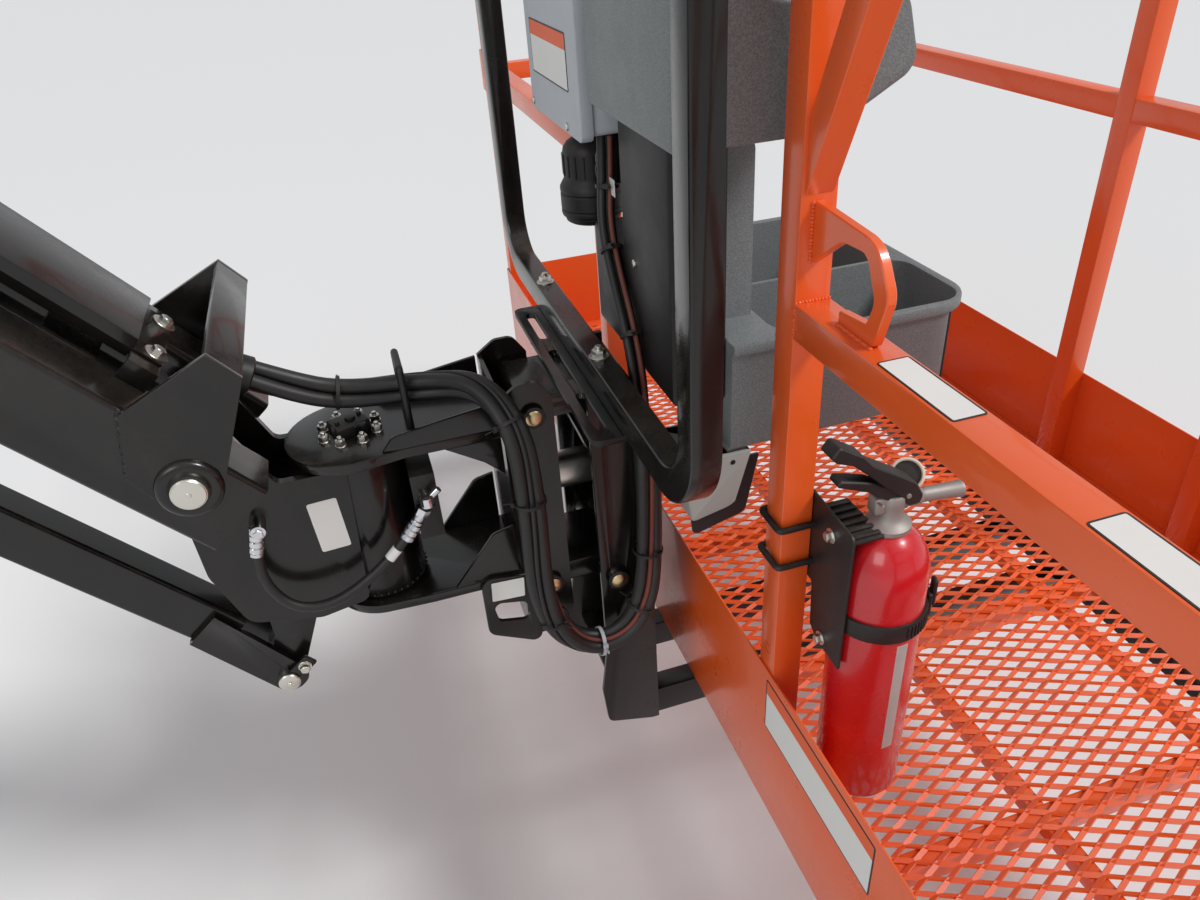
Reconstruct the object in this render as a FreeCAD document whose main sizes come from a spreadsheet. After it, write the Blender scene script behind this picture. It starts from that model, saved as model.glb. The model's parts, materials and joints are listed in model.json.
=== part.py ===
import FreeCAD, Part
import Sketcher
import math
import os
from types import SimpleNamespace
from FreeCAD import Placement, Rotation, Vector

# Work platform and jib of a boom lift, in millimetres, +X from the boom towards the platform,
# +Y to the left, +Z up. The origin is on the pin that joins the rear knuckle to the boom.

doc = FreeCAD.newDocument("lift_platform")
sheet = doc.addObject("Spreadsheet::Sheet", "dims")

# Each row: name, size in millimetres or degrees, what it measures.
DRIVING = [
    ("jib_length", 1240, "jib, rear upper pin to front upper pin"),
    ("jib_angle", 50, "jib below level as it stands, degrees"),
    ("pin_ahead", 170, "rear upper jib pin ahead of the boom pin"),
    ("pin_above", 90, "rear upper jib pin above the boom pin"),
    ("link_ahead", 8, "lower link pin ahead of the upper jib pin"),
    ("link_drop", 418, "lower link pin below the upper jib pin"),
    ("head_reach", 624, "front upper jib pin back from the rail plane"),
    ("head_rise", 533, "front upper jib pin above the platform floor"),
    ("rotator_ahead", 174, "rotator axis ahead of the front upper jib pin"),
    ("pin_clearance", 0.05, "radial running clearance of a pin in its bore"),
    ("seat_gap", 0.3, "side clearance between faces that turn on each other"),
    ("jib_pin", 19, "radius of the two upper jib pins"),
    ("link_pin", 15, "radius of the two lower link pins"),
    ("pin_head", 10, "thickness of a pin's head"),
    ("rear_half", 50, "rear knuckle, half the gap between its plates"),
    ("rear_plate", 12, "rear knuckle, plate thickness"),
    ("rear_crown", 52, "rear knuckle, plate height above the upper jib pin"),
    ("boom_pin", 25, "radius of the boom pin bore"),
    ("boom_boss", 46, "radius of the boss round the boom pin bore"),
    ("level_back", 40, "level cylinder pin behind the boom pin"),
    ("level_drop", 215, "level cylinder pin below the boom pin"),
    ("level_pin", 20, "radius of the level cylinder pin bore"),
    ("boss_radius", 34, "radius of the thrust boss at an upper jib pin"),
    ("web", 10, "thickness of the webs in both knuckles"),
    ("tube_inner", 68.5, "jib tubes, half the gap between them"),
    ("tube_width", 76, "jib tube, width"),
    ("tube_above", 38, "jib tube, top above the pin line"),
    ("tube_below", 64, "jib tube, bottom below the pin line"),
    ("tube_back", 60, "jib tube, length behind the rear pin"),
    ("tube_ahead", 73, "jib tube, length past the front pin"),
    ("tube_round", 7, "jib tube, corner radius"),
    ("jib_wall", 6, "jib tube, wall thickness"),
    ("bush_wall", 12, "wall of the bushes round the jib's pins"),
    ("ring_proud", 7, "front pin bush, how far it stands out of its plate"),
    ("cheek", 8, "thickness of the doubler plates and the bridge"),
    ("bridge_back", 77, "bridge plate, rear edge behind the front pin"),
    ("bridge_front", 33, "bridge plate, front edge behind the front pin"),
    ("bridge_rise", 141, "bridge plate, top above the pin line"),
    ("cross_depth", 12, "thickness of the cross plates between the jib tubes"),
    ("cross_length", 60, "length of a cross plate along the jib"),
    ("cross_ahead", 100, "rear cross plate, ahead of the cylinder's front pin"),
    ("cross_front", 200, "front cross plate, behind the front pin"),
    ("cover_half", 63, "hose cover, half width"),
    ("cover_rise", 80, "hose cover, top above the pin line"),
    ("cover_flange", 26, "hose cover, depth of its turned edges"),
    ("cover_sheet", 4, "hose cover, sheet thickness"),
    ("cover_start", 60, "hose cover, rear end ahead of the rear pin"),
    ("cover_end", 120, "hose cover, front end behind the front pin"),
    ("cover_tab", 35, "hose cover, length of its bolted tab"),
    ("cover_step", 12, "hose cover, drop from its top to the tab"),
    ("link_half", 25, "lower link tube, half width"),
    ("link_above", 50, "lower link tube, top above its pin line"),
    ("link_below", 15, "lower link tube, bottom below its pin line"),
    ("link_round", 6, "lower link tube, corner radius"),
    ("link_wall", 5, "lower link tube, wall thickness"),
    ("link_setback", 105, "lower link tube, end to pin"),
    ("ear", 10, "thickness of an ear of the lower link"),
    ("ear_radius", 25, "radius of an ear of the lower link"),
    ("ear_length", 150, "length of an ear of the lower link"),
    ("cyl_drop", 150, "jib cylinder's rear pin below the rear upper pin"),
    ("cyl_reach", 620, "jib cylinder's front pin along the jib"),
    ("cyl_offset", 13, "jib cylinder's front pin below the pin line"),
    ("cyl_radius", 38, "jib cylinder, barrel radius"),
    ("cyl_length", 440, "jib cylinder, rear pin to the gland's face"),
    ("cyl_eye", 34, "jib cylinder, radius of its eyes"),
    ("cyl_eye_half", 24, "jib cylinder, half width of its eyes"),
    ("cyl_pin", 16, "jib cylinder, radius of its pins"),
    ("cyl_bore_start", 48, "jib cylinder, blind end of the bore from the rear pin"),
    ("rod_radius", 19, "jib cylinder, rod radius"),
    ("rod_start", 78, "jib cylinder, inner end of the rod from the rear pin"),
    ("gland", 28, "jib cylinder, length of the gland ring"),
    ("gland_lip", 4, "jib cylinder, gland ring proud of the barrel"),
    ("head_half", 51, "front knuckle, half the gap between its plates"),
    ("head_plate", 12, "front knuckle, plate thickness"),
    ("lug_half", 24.5, "front knuckle, half width of the lower lug"),
    ("rotator_radius", 60, "rotator housing, radius"),
    ("arm_top", 478, "upper arm, top of its disc above the floor"),
    ("arm_plate", 14, "thickness of the upper and lower arm discs"),
    ("arm_low", 221, "lower arm, underside of its disc above the floor"),
    ("disc_top", 85, "upper arm, radius of its round end"),
    ("disc_low", 72, "lower arm, radius of its round end"),
    ("collar", 5, "height of the collar between an arm and the housing"),
    ("collar_radius", 44, "radius of that collar"),
    ("arm_shoulder", 60, "upper and lower arm, where the round end meets the straight flank"),
    ("gusset_rise", 38, "upper arm, height of its gussets above the disc"),
    ("gusset_fall", 72, "upper arm, depth of its gussets at the mount"),
    ("gusset_start", 34, "upper arm, start of its gussets ahead of the rotator axis"),
    ("low_gusset_rise", 84, "lower arm, height of its gussets at the mount"),
    ("low_gusset_start", 92, "lower arm, start of its gussets ahead of the rotator axis"),
    ("arm_gap", 3, "gap between an arm's gussets and the inner mount"),
    ("mount_half", 75, "inner mount, half width over its plates"),
    ("mount_plate", 6, "inner mount, plate thickness"),
    ("mount_back", 262, "inner mount, back face behind the rail plane"),
    ("mount_top", 535, "inner mount, top above the floor"),
    ("mount_low", 112, "inner mount, bottom above the floor"),
    ("mount_depth", 70, "inner mount, depth of its side plates"),
    ("outer_half", 100, "outer mount, half width over its plates"),
    ("outer_plate", 8, "outer mount, plate thickness"),
    ("outer_back", 152, "outer mount, rear edge behind the rail plane"),
    ("outer_front", 72, "outer mount, front face behind the rail plane"),
    ("outer_top", 505, "outer mount, top above the floor"),
    ("mount_pin_back", 220, "inner mount pins behind the rail plane"),
    ("mount_pin_front", 128, "outer mount pins behind the rail plane"),
    ("mount_pin_high", 487, "upper mount pins above the floor"),
    ("mount_pin_low", 204, "lower mount pins above the floor"),
    ("mount_pin", 11, "radius of the mount pins"),
    ("mount_pin_proud", 7, "how far a mount pin stands out of its plate"),
    ("link_bar", 34, "depth of a mount link"),
    ("link_bar_half", 60, "half width of a mount link"),
    ("cell_radius", 27, "load cell, radius"),
    ("arm_width", 38, "support arm under the floor, width"),
    ("arm_wall", 4, "support arm under the floor, wall thickness"),
    ("arm_depth", 52, "support arm under the floor, depth"),
    ("arm_reach", 790, "support arm, reach past the rail plane"),
    ("slot_plate", 8, "slotted plate, thickness"),
    ("slot_rear", 178, "slotted plate, rear edge behind the rail plane"),
    ("slot_front", 98, "slotted plate, front edge behind the rail plane"),
    ("slot_span", 210, "slotted plate, half length"),
    ("slot_length", 96, "slot, length"),
    ("slot_width", 14, "slot, width"),
    ("hoop_back", 140, "console guard, rear face behind the rail plane"),
    ("hoop_tube", 32, "console guard tube, depth"),
    ("hoop_face", 38, "console guard tube, width"),
    ("hoop_half", 422, "console guard, half width over its legs"),
    ("hoop_bend", 95, "console guard, outer radius of its corners"),
    ("hoop_shoulder", 60, "console guard, radius where the legs turn forward"),
    ("depth", 914, "platform, boom side to far side"),
    ("length", 2440, "platform, end to end"),
    ("rail", 38, "square rail tube"),
    ("rail_wall", 3, "square rail tube, wall thickness"),
    ("rail_top", 1100, "top of the top rail above the floor"),
    ("mid_top", 708, "top of the middle rail above the floor"),
    ("post_near", 327, "boom side posts, centre from the middle"),
    ("post_far", 165, "far side posts, centre from the middle"),
    ("toe_top", 193, "toe board, top above the floor"),
    ("toe_drop", 65, "toe board, bottom below the floor"),
    ("toe_sheet", 3, "toe board, sheet thickness"),
    ("mesh", 5, "floor mesh thickness"),
    ("mesh_long", 304.8, "floor mesh, long way of a diamond, across the platform"),
    ("mesh_short", 140.4, "floor mesh, short way of a diamond, along the platform"),
    ("mesh_strand", 21, "floor mesh, width of a strand"),
    ("beam", 38, "floor frame side beam, width and depth"),
    ("cross_beam", 25, "floor frame cross beam, width"),
    ("beam_pitch", 348.6, "floor frame cross beams, spacing along the platform"),
    ("stringer", 22, "floor frame stringer, width and depth"),
    ("stringer_first", 301, "first stringer, side towards the rail plane"),
    ("stringer_second", 598, "second stringer, side towards the rail plane"),
    ("lanyard_sheet", 10, "lanyard plate, thickness"),
    ("lanyard_reach", 153, "lanyard plate, reach from its post"),
    ("lanyard_rise", 105, "lanyard plate, height above the middle rail"),
    ("lanyard_round", 48, "lanyard plate, outer corner radius"),
    ("lanyard_band", 27, "lanyard plate, width of its band"),
    ("brace_lean", 25, "brace lean from upright, degrees"),
    ("brace_width", 30, "brace tube, width"),
    ("box_back", 103, "socket box, rear face behind the rail plane"),
    ("box_depth", 95, "socket box, depth"),
    ("box_near", 17, "socket box, near side from the middle"),
    ("box_far", 257, "socket box, far side from the middle"),
    ("box_low", 800, "socket box, bottom above the floor"),
    ("box_high", 1010, "socket box, top above the floor"),
    ("box_lid", 16, "socket box, lid thickness"),
    ("plug_radius", 45, "cable socket below the box, radius"),
    ("cover_near", 190, "console cover, near side from the middle"),
    ("cover_far", 100, "console cover, far side from the middle"),
    ("cover_low", 520, "console cover, bottom above the floor"),
    ("cover_back", 70, "console cover, rear face behind the rail plane"),
    ("panel_half", 290, "control console, side from the middle"),
    ("panel_low", 850, "control console, bottom above the floor"),
    ("deck_drop", 70, "control console, its deck below the top of its rear wall"),
    ("panel_high", 1040, "control console, top of its rear wall above the floor"),
    ("panel_slope", 50, "control console, rise of its underside towards the front"),
    ("panel_front", 150, "control console, front edge past the rail plane"),
    ("tray_reach", 330, "tool tray, reach past the rail plane"),
    ("tray_near", 205, "tool tray, near side from the middle"),
    ("tray_far", 175, "tool tray, far side from the middle"),
    ("tray_rim", 600, "tool tray, rim above the floor"),
    ("tray_low", 455, "tool tray, bottom above the floor"),
    ("tray_wall", 7, "tool tray, wall thickness"),
    ("tray_round", 60, "tool tray, corner radius"),
    ("tray_back", 58, "tool tray, depth of its back block"),
    ("tray_under", 5, "gap between the tool tray's back block and the console"),
    ("bottle_radius", 52, "extinguisher, radius"),
    ("bottle_ahead", 96, "extinguisher axis past the rail plane"),
    ("bottle_low", 45, "extinguisher, foot above the floor"),
    ("bottle_high", 400, "extinguisher, shoulder above the floor"),
    ("bracket_sheet", 4, "extinguisher bracket, sheet thickness"),
    ("bracket_gap", 8, "extinguisher bracket, offset of the bottle from it"),
    ("gate_gap", 12, "clearance at the gate's sides"),
    ("hinge_out", 9, "gate hinge axis inside the inner face of its post"),
    ("hinge_radius", 8, "gate hinge, barrel radius"),
    ("gate_low", 215, "gate, bottom above the floor"),
    ("sleeve_wall", 4, "sliding entry bar, wall of its sleeves"),
    ("sleeve_gap", 0.4, "sliding entry bar, clearance of its sleeves on the posts"),
    ("sleeve_height", 90, "sliding entry bar, height of its sleeves"),
    ("loom_radius", 17, "hoses tied in the loom, radius over all of them"),
    ("supply_radius", 8, "hoses that rise to the socket box, radius over them"),
    ("feed_radius", 7, "hose to the rotator's valve, radius"),
    ("hoop_wire", 5, "hose hoop on the upper arm, radius of its wire"),
]
for row, (alias, value, meaning) in enumerate(DRIVING, start=1):
    sheet.set("A%d" % row, meaning)
    sheet.set("B%d" % row, "%g" % value)
    sheet.setAlias("B%d" % row, alias)
doc.recompute()


class Size:
    """A size that carries its value and the formula that binds it to the sheet."""

    def __init__(self, value, formula=None):
        self.value = float(value)
        self.formula = formula or "%.9g" % self.value

    def joined(self, other, sign, value):
        return Size(value, "(%s %s %s)" % (self.formula, sign, other.formula))

    def __add__(self, other):
        other = as_size(other)
        return self.joined(other, "+", self.value + other.value)

    def __sub__(self, other):
        other = as_size(other)
        return self.joined(other, "-", self.value - other.value)

    def __mul__(self, other):
        other = as_size(other)
        return self.joined(other, "*", self.value * other.value)

    def __truediv__(self, other):
        other = as_size(other)
        return self.joined(other, "/", self.value / other.value)

    def __neg__(self):
        return Size(0) - self

    def __radd__(self, other):
        return as_size(other) + self

    def __rsub__(self, other):
        return as_size(other) - self

    def __rmul__(self, other):
        return as_size(other) * self


def as_size(number):
    return number if isinstance(number, Size) else Size(number)


def cosine(angle):
    return Size(math.cos(math.radians(angle.value)), "cos(%s)" % angle.formula)


def sine(angle):
    return Size(math.sin(math.radians(angle.value)), "sin(%s)" % angle.formula)


def tangent(angle):
    return Size(math.tan(math.radians(angle.value)), "tan(%s)" % angle.formula)


def bearing(rise, run):
    """Angle in degrees of a line that climbs rise over run."""
    angle = math.degrees(math.atan2(rise.value, run.value))
    return Size(angle, "atan2(%s; %s)" % (rise.formula, run.formula))


def distance(run, rise):
    return Size(math.hypot(run.value, rise.value), "hypot(%s; %s)" % (run.formula, rise.formula))


d = SimpleNamespace(**{a: Size(float(getattr(sheet, a)), "dims." + a) for a, v, m in DRIVING})


def bind(thing, **sizes):
    for prop, size in sizes.items():
        thing.setExpression(prop, as_size(size).formula)
    return thing


def place(thing, x, y, z, rotation=None):
    thing.Placement = Placement(Vector(), rotation or Rotation())
    for axis, size in (("x", x), ("y", y), ("z", z)):
        thing.setExpression("Placement.Base." + axis, as_size(size).formula)
    return thing


def box(x, y, z):
    """A block between the low and high value of each axis."""
    block = doc.addObject("Part::Box", "block")
    bind(block, Length=x[1] - as_size(x[0]), Width=y[1] - as_size(y[0]), Height=z[1] - as_size(z[0]))
    return place(block, x[0], y[0], z[0])


TURN = {"x": Rotation(Vector(0, 1, 0), 90), "y": Rotation(Vector(1, 0, 0), -90), "z": Rotation()}


def rod(axis, centre, radius, span):
    """A round bar along an axis; centre gives the other two coordinates in order."""
    bar = doc.addObject("Part::Cylinder", "bar")
    bind(bar, Radius=radius, Height=span[1] - as_size(span[0]))
    start = list(centre)
    start.insert("xyz".index(axis), span[0])
    return place(bar, *start, rotation=TURN[axis])


PLANES = {"xz": ("XZ_Plane", "y", True), "yz": ("YZ_Plane", "x", False), "xy": ("XY_Plane", "z", False)}


def plate(plane, outline, span, rounds=()):
    """A flat piece: a sketched outline in a plane, padded over span, with rounded corners.

    rounds holds (radius, corner numbers) pairs."""
    role, normal, reverse = PLANES[plane]
    body = doc.addObject("PartDesign::Body", "plate")
    support = [feature for feature in body.Origin.OriginFeatures if feature.Role == role][0]
    sketch = body.newObject("Sketcher::SketchObject", "outline")
    sketch.AttachmentSupport = [(support, "")]
    sketch.MapMode = "FlatFace"
    points = [(as_size(across), as_size(up)) for across, up in outline]
    corners = [Vector(across.value, up.value, 0) for across, up in points]
    for start, end in zip(corners, corners[1:] + corners[:1]):
        sketch.addGeometry(Part.LineSegment(start, end), False)
    for index, (across, up) in enumerate(points):
        follower = (index + 1) % len(points)
        sketch.addConstraint(Sketcher.Constraint("Coincident", index, 2, follower, 1))
        for kind, size in (("DistanceX", across), ("DistanceY", up)):
            number = sketch.addConstraint(Sketcher.Constraint(kind, -1, 1, index, 1, size.value))
            sketch.setExpression("Constraints[%d]" % number, size.formula)
    pad = body.newObject("PartDesign::Pad", "pad")
    pad.Profile = sketch
    pad.Reversed = reverse
    bind(pad, Length=span[1] - as_size(span[0]))
    doc.recompute()
    for radius, numbers in rounds:
        round_corners(body, plane, [corners[number] for number in numbers], radius)
    body.setExpression("Placement.Base." + normal, as_size(span[0]).formula)
    return body


def round_corners(body, plane, corners, radius):
    """Round the padded edges that stand on the given corners of the outline."""
    first, second = plane
    names = []
    for number, edge in enumerate(body.Tip.Shape.Edges, start=1):
        ends = [vertex.Point for vertex in edge.Vertexes]
        for corner in corners:
            here = [abs(getattr(end, first) - corner.x) + abs(getattr(end, second) - corner.y) for end in ends]
            if max(here) < 0.001:
                names.append("Edge%d" % number)
    base = body.Tip
    fillet = body.newObject("PartDesign::Fillet", "round")
    fillet.Base = (base, names)
    bind(fillet, Radius=radius)
    doc.recompute()
    if not names or "Invalid" in fillet.State:
        raise RuntimeError("corner radius %s fails at %s" % (radius, corners))


def fuse(pieces):
    if len(pieces) == 1:
        return pieces[0]
    joined = doc.addObject("Part::MultiFuse", "joined")
    joined.Shapes = pieces
    joined.Refine = True
    return joined


def cut(base, tools):
    result = doc.addObject("Part::Cut", "cut")
    result.Base = base
    result.Tool = fuse(tools)
    result.Refine = True
    return result


def tube(x, y, z, wall, run):
    """A square tube along the axis named by run, open at both ends."""
    limits = [[as_size(low), as_size(high)] for low, high in (x, y, z)]
    inner = []
    for name, (low, high) in zip("xyz", limits):
        grow = 1 if name == run else -wall
        inner.append((low - grow, high + grow))
    return cut(box(*limits), [box(*inner)])


def span(side, low, high):
    """The stretch from low to high on the left side, or its mirror on the right side."""
    return (as_size(low), as_size(high)) if side > 0 else (-as_size(high), -as_size(low))


def middle(half):
    return (-as_size(half), as_size(half))


# Frames: where a group of nodes is measured from, and how far it is turned about Y.
upper_rear = (d.pin_ahead, d.pin_above)
lower_rear = (d.pin_ahead + d.link_ahead, d.pin_above - d.link_drop)
upper_front = (d.pin_ahead + d.jib_length * cosine(d.jib_angle),
               d.pin_above - d.jib_length * sine(d.jib_angle))
rod_pin = (d.pin_ahead + d.cyl_reach * cosine(d.jib_angle) - d.cyl_offset * sine(d.jib_angle),
           d.pin_above - d.cyl_reach * sine(d.jib_angle) - d.cyl_offset * cosine(d.jib_angle))
cyl_base = (d.pin_ahead, d.pin_above - d.cyl_drop)
cyl_run = rod_pin[0] - cyl_base[0]
cyl_fall = cyl_base[1] - rod_pin[1]
cyl_span = distance(cyl_run, cyl_fall)
FRAMES = {
    "boom": (Size(0), Size(0), None),
    "jib": (upper_rear[0], upper_rear[1], d.jib_angle),
    "link": (lower_rear[0], lower_rear[1], d.jib_angle),
    "cylinder": (cyl_base[0], cyl_base[1], bearing(cyl_fall, cyl_run)),
    "platform": (upper_front[0] + d.head_reach, upper_front[1] - d.head_rise, None),
}
NODES = []


def node(name, frame, pieces):
    """Gather one named sub-part and seat it in its frame."""
    part = doc.addObject("Part::Compound", name)
    part.Label = name
    part.Links = pieces
    x, z, angle = FRAMES[frame]
    if angle:
        part.Placement = Placement(Vector(), Rotation(Vector(0, 1, 0), angle.value))
        part.setExpression("Placement.Rotation.Angle", angle.formula)
    part.setExpression("Placement.Base.x", x.formula)
    part.setExpression("Placement.Base.z", z.formula)
    NODES.append(part)
    return part


def rear_knuckle():
    outer = d.rear_half + d.rear_plate
    foot = d.link_pin + 29
    outline = [
        (-d.boom_boss - 8, 20), (-d.boom_boss + 10, d.boom_boss + 6), (d.pin_ahead - d.rear_crown, d.pin_above + d.rear_crown),
        (d.pin_ahead + d.rear_crown, d.pin_above + d.rear_crown), (d.pin_ahead + d.rear_crown + 6, lower_rear[1] - foot),
        (lower_rear[0] - d.rear_crown, lower_rear[1] - foot), (-d.level_back - 30, -d.level_drop - 36),
        (-d.level_back - 38, -d.level_drop + 20),
    ]
    bores = [
        rod("y", (0, 0), d.boom_pin, middle(outer + 20)),
        rod("y", (-d.level_back, -d.level_drop), d.level_pin, middle(outer + 20)),
        rod("y", upper_rear, d.jib_pin + d.pin_clearance, middle(outer + 20)),
        rod("y", lower_rear, d.link_pin + d.pin_clearance, middle(outer + 20)),
        rod("y", cyl_base, d.cyl_pin + d.pin_clearance, middle(outer + 20)),
    ]
    solids = []
    for side in (-1, 1):
        cheek = plate("xz", outline, span(side, d.rear_half, outer), [(36, (0, 1, 2, 3, 6, 7)), (30, (4, 5))])
        ring = rod("y", (0, 0), d.boom_boss, span(side, outer - 1, outer + 8))
        boss = rod("y", upper_rear, d.boss_radius, span(side, outer - 1, d.tube_inner - d.seat_gap))
        solids.append(cut(fuse([cheek, ring, boss]), bores))
    inside = middle(d.rear_half)
    solids.append(cut(rod("y", (0, 0), d.boom_boss, inside), [rod("y", (0, 0), d.boom_pin, middle(outer))]))
    back = d.pin_ahead - d.cyl_eye - 26
    solids.append(box((10, 10 + d.web), inside, (-d.level_drop + 30, -d.boom_boss - 4)))
    solids.append(box((40, back), inside, (lower_rear[1] - 30, lower_rear[1] - 30 + d.web)))
    solids.append(box((60, back), inside, (d.pin_above + 26, d.pin_above + 26 + d.web)))
    node("rear_knuckle", "boom", solids)


def rear_pins():
    tube_outer = d.tube_inner + d.tube_width
    knuckle_outer = d.rear_half + d.rear_plate
    pins = []
    for side in (-1, 1):
        stub = rod("y", upper_rear, d.jib_pin, span(side, d.rear_half - 2, tube_outer + d.seat_gap))
        reach = tube_outer + d.seat_gap
        pins.append(fuse([stub, rod("y", upper_rear, d.jib_pin + 7, span(side, reach, reach + d.pin_head))]))
    half = knuckle_outer + d.seat_gap
    heads = [rod("y", lower_rear, d.link_pin + 7, span(side, half, half + d.pin_head)) for side in (-1, 1)]
    pins.append(fuse([rod("y", lower_rear, d.link_pin, middle(half))] + heads))
    pins.append(rod("y", cyl_base, d.cyl_pin, middle(knuckle_outer)))
    node("rear_pins", "boom", pins)


def jib_tubes():
    outer = d.tube_inner + d.tube_width
    tubes = []
    for side in (-1, 1):
        across = span(side, d.tube_inner, outer)
        section = [(across[0], -d.tube_below), (across[1], -d.tube_below), (across[1], d.tube_above),
                   (across[0], d.tube_above)]
        skin = plate("yz", section, (-d.tube_back, d.jib_length + d.tube_ahead), [(d.tube_round, (0, 1, 2, 3))])
        wall = d.jib_wall
        hollow = box((-d.tube_back + wall, d.jib_length + d.tube_ahead - wall),
                     span(side, d.tube_inner + wall, outer - wall), (-d.tube_below + wall, d.tube_above - wall))
        cheek = [
            (d.jib_length - 104, d.tube_above - 4), (d.jib_length - d.bridge_back, d.bridge_rise),
            (d.jib_length - d.bridge_front, d.bridge_rise), (d.jib_length + 27, 24), (d.jib_length + 27, -12),
            (d.jib_length + 4, -36), (d.jib_length - 55, -28),
        ]
        pieces = [cut(skin, [hollow])]
        pieces.append(plate("xz", cheek, span(side, outer - 0.5, outer + d.cheek), [(20, (4, 5)), (10, (3,))]))
        ring = span(side, d.tube_inner + 1, outer + d.cheek + d.ring_proud)
        pieces.append(rod("y", (d.jib_length, 0), d.jib_pin + d.bush_wall, ring))
        pieces.append(rod("y", (0, 0), d.jib_pin + d.bush_wall, span(side, d.tube_inner + 1, outer - 1)))
        for radius, reach in ((d.cyl_pin + d.bush_wall, 6), (d.cyl_pin, 12)):
            pieces.append(rod("y", (d.cyl_reach, -d.cyl_offset), radius, span(side, outer - 1, outer + reach)))
        bores = [rod("y", (x, 0), d.jib_pin + d.pin_clearance, middle(outer + 40)) for x in (0, d.jib_length)]
        tubes.append(cut(fuse(pieces), bores))
    node("jib_tubes", "jib", tubes)


def jib_cross_plates():
    outer = d.tube_inner + d.tube_width
    bridge = (d.jib_length - d.bridge_back, d.jib_length - d.bridge_front)
    plates = [box(bridge, middle(outer - 0.5), (d.bridge_rise - d.cheek, d.bridge_rise))]
    top = (d.tube_above - d.tube_round - d.cross_depth, d.tube_above - d.tube_round)
    for start in (d.cyl_reach + d.cross_ahead, d.jib_length - d.cross_front):
        plates.append(box((start, start + d.cross_length), middle(d.tube_inner), top))
    seat_top = d.cover_rise - d.cover_step - d.cover_sheet
    for start in (d.jib_length - d.cover_end, d.cover_start):
        along = (start, start + d.cover_tab)
        legs = [box(along, span(side, d.tube_inner + 10, d.tube_inner + 16), (d.tube_above, seat_top))
                for side in (-1, 1)]
        seat = box(along, middle(d.tube_inner + 16), (seat_top - 6, seat_top))
        plates.append(fuse([seat] + legs))
    node("jib_cross_plates", "jib", plates)


def hose_cover():
    top = d.cover_rise
    low = top - d.cover_step
    reach = (d.cover_start + d.cover_tab, d.jib_length - d.cover_end)
    pieces = [box(reach, middle(d.cover_half), (top - d.cover_sheet, top))]
    for side in (-1, 1):
        pieces.append(box(reach, span(side, d.cover_half - d.cover_sheet, d.cover_half),
                          (top - d.cover_flange, top - 1)))
    for tab in ((reach[0] - d.cover_tab, reach[0]), (reach[1], reach[1] + d.cover_tab)):
        pieces.append(box(tab, middle(d.cover_half), (low - d.cover_sheet, low)))
    for x in (reach[0], reach[1] - d.cover_sheet):
        pieces.append(box((x, x + d.cover_sheet), middle(d.cover_half), (low - d.cover_sheet, top)))
    node("hose_cover", "jib", [fuse(pieces)])


def front_upper_pin():
    half = d.tube_inner + d.tube_width + d.cheek + d.ring_proud
    shank = rod("y", (d.jib_length, 0), d.jib_pin, middle(half + 8))
    node("front_upper_pin", "jib", [shank])


def lower_link():
    reach = (d.link_setback, d.jib_length - d.link_setback)
    corners = [(-d.link_half, -d.link_below), (d.link_half, -d.link_below), (d.link_half, d.link_above),
               (-d.link_half, d.link_above)]
    wall = d.link_wall
    hollow = box((reach[0] + wall, reach[1] - wall), middle(d.link_half - wall), (-d.link_below + wall, d.link_above - wall))
    pieces = [cut(plate("yz", corners, reach, [(d.link_round, (0, 1, 2, 3))]), [hollow])]
    for end, inward in ((Size(0), 1), (d.jib_length, -1)):
        far = end + inward * d.ear_length
        outline = [(end - inward * d.ear_radius, -d.ear_radius), (far, -d.link_below), (far, d.link_above - 10),
                   (end - inward * d.ear_radius, d.ear_radius)]
        for side in (-1, 1):
            pieces.append(plate("xz", outline, span(side, d.link_half - 0.5, d.link_half + d.ear),
                                [(d.ear_radius - 2, (0, 3))]))
    rear_bush = middle(d.rear_half - d.seat_gap)
    pieces.append(rod("y", (0, 0), d.ear_radius, rear_bush))
    bores = [rod("y", (x, 0), d.link_pin + d.pin_clearance, middle(d.rear_half + 20)) for x in (0, d.jib_length)]
    node("lower_link", "link", [cut(fuse(pieces), bores)])


def front_lower_pin():
    half = d.link_half + d.ear + d.seat_gap
    x = d.jib_length
    shank = rod("y", (x, 0), d.link_pin, (-half - 8, half))
    keeper = box((x - 9, x + 9), (half, half + 6), (-14, 46))
    node("front_lower_pin", "link", [fuse([shank, keeper])])


def cylinder():
    eye = rod("y", (0, 0), d.cyl_eye, middle(d.cyl_eye_half))
    barrel = rod("x", (0, 0), d.cyl_radius, (20, d.cyl_length))
    ring = rod("x", (0, 0), d.cyl_radius + d.gland_lip, (d.cyl_length - d.gland, d.cyl_length))
    ports = [rod("z", (x, 0), 11, (d.cyl_radius - 4, d.cyl_radius + 9)) for x in (70, d.cyl_length - d.gland - 24)]
    bushes = [rod("y", (0, 0), d.cyl_pin + 10, span(side, d.cyl_eye_half - 1, d.rear_half - d.seat_gap))
              for side in (-1, 1)]
    holes = [rod("y", (0, 0), d.cyl_pin + d.pin_clearance, middle(d.rear_half + 10)),
             rod("x", (0, 0), d.rod_radius + d.pin_clearance, (d.cyl_bore_start, d.cyl_length + 10))]
    node("cylinder_barrel", "cylinder", [cut(fuse([eye, barrel, ring] + ports + bushes), holes)])
    bar = rod("x", (0, 0), d.rod_radius, (d.rod_start, cyl_span))
    end = rod("y", (cyl_span, 0), d.cyl_eye - 4, middle(d.cyl_eye_half))
    pin = rod("y", (cyl_span, 0), d.cyl_pin, middle(d.tube_inner - d.seat_gap))
    node("cylinder_rod", "cylinder", [fuse([bar, end, pin])])


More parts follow.
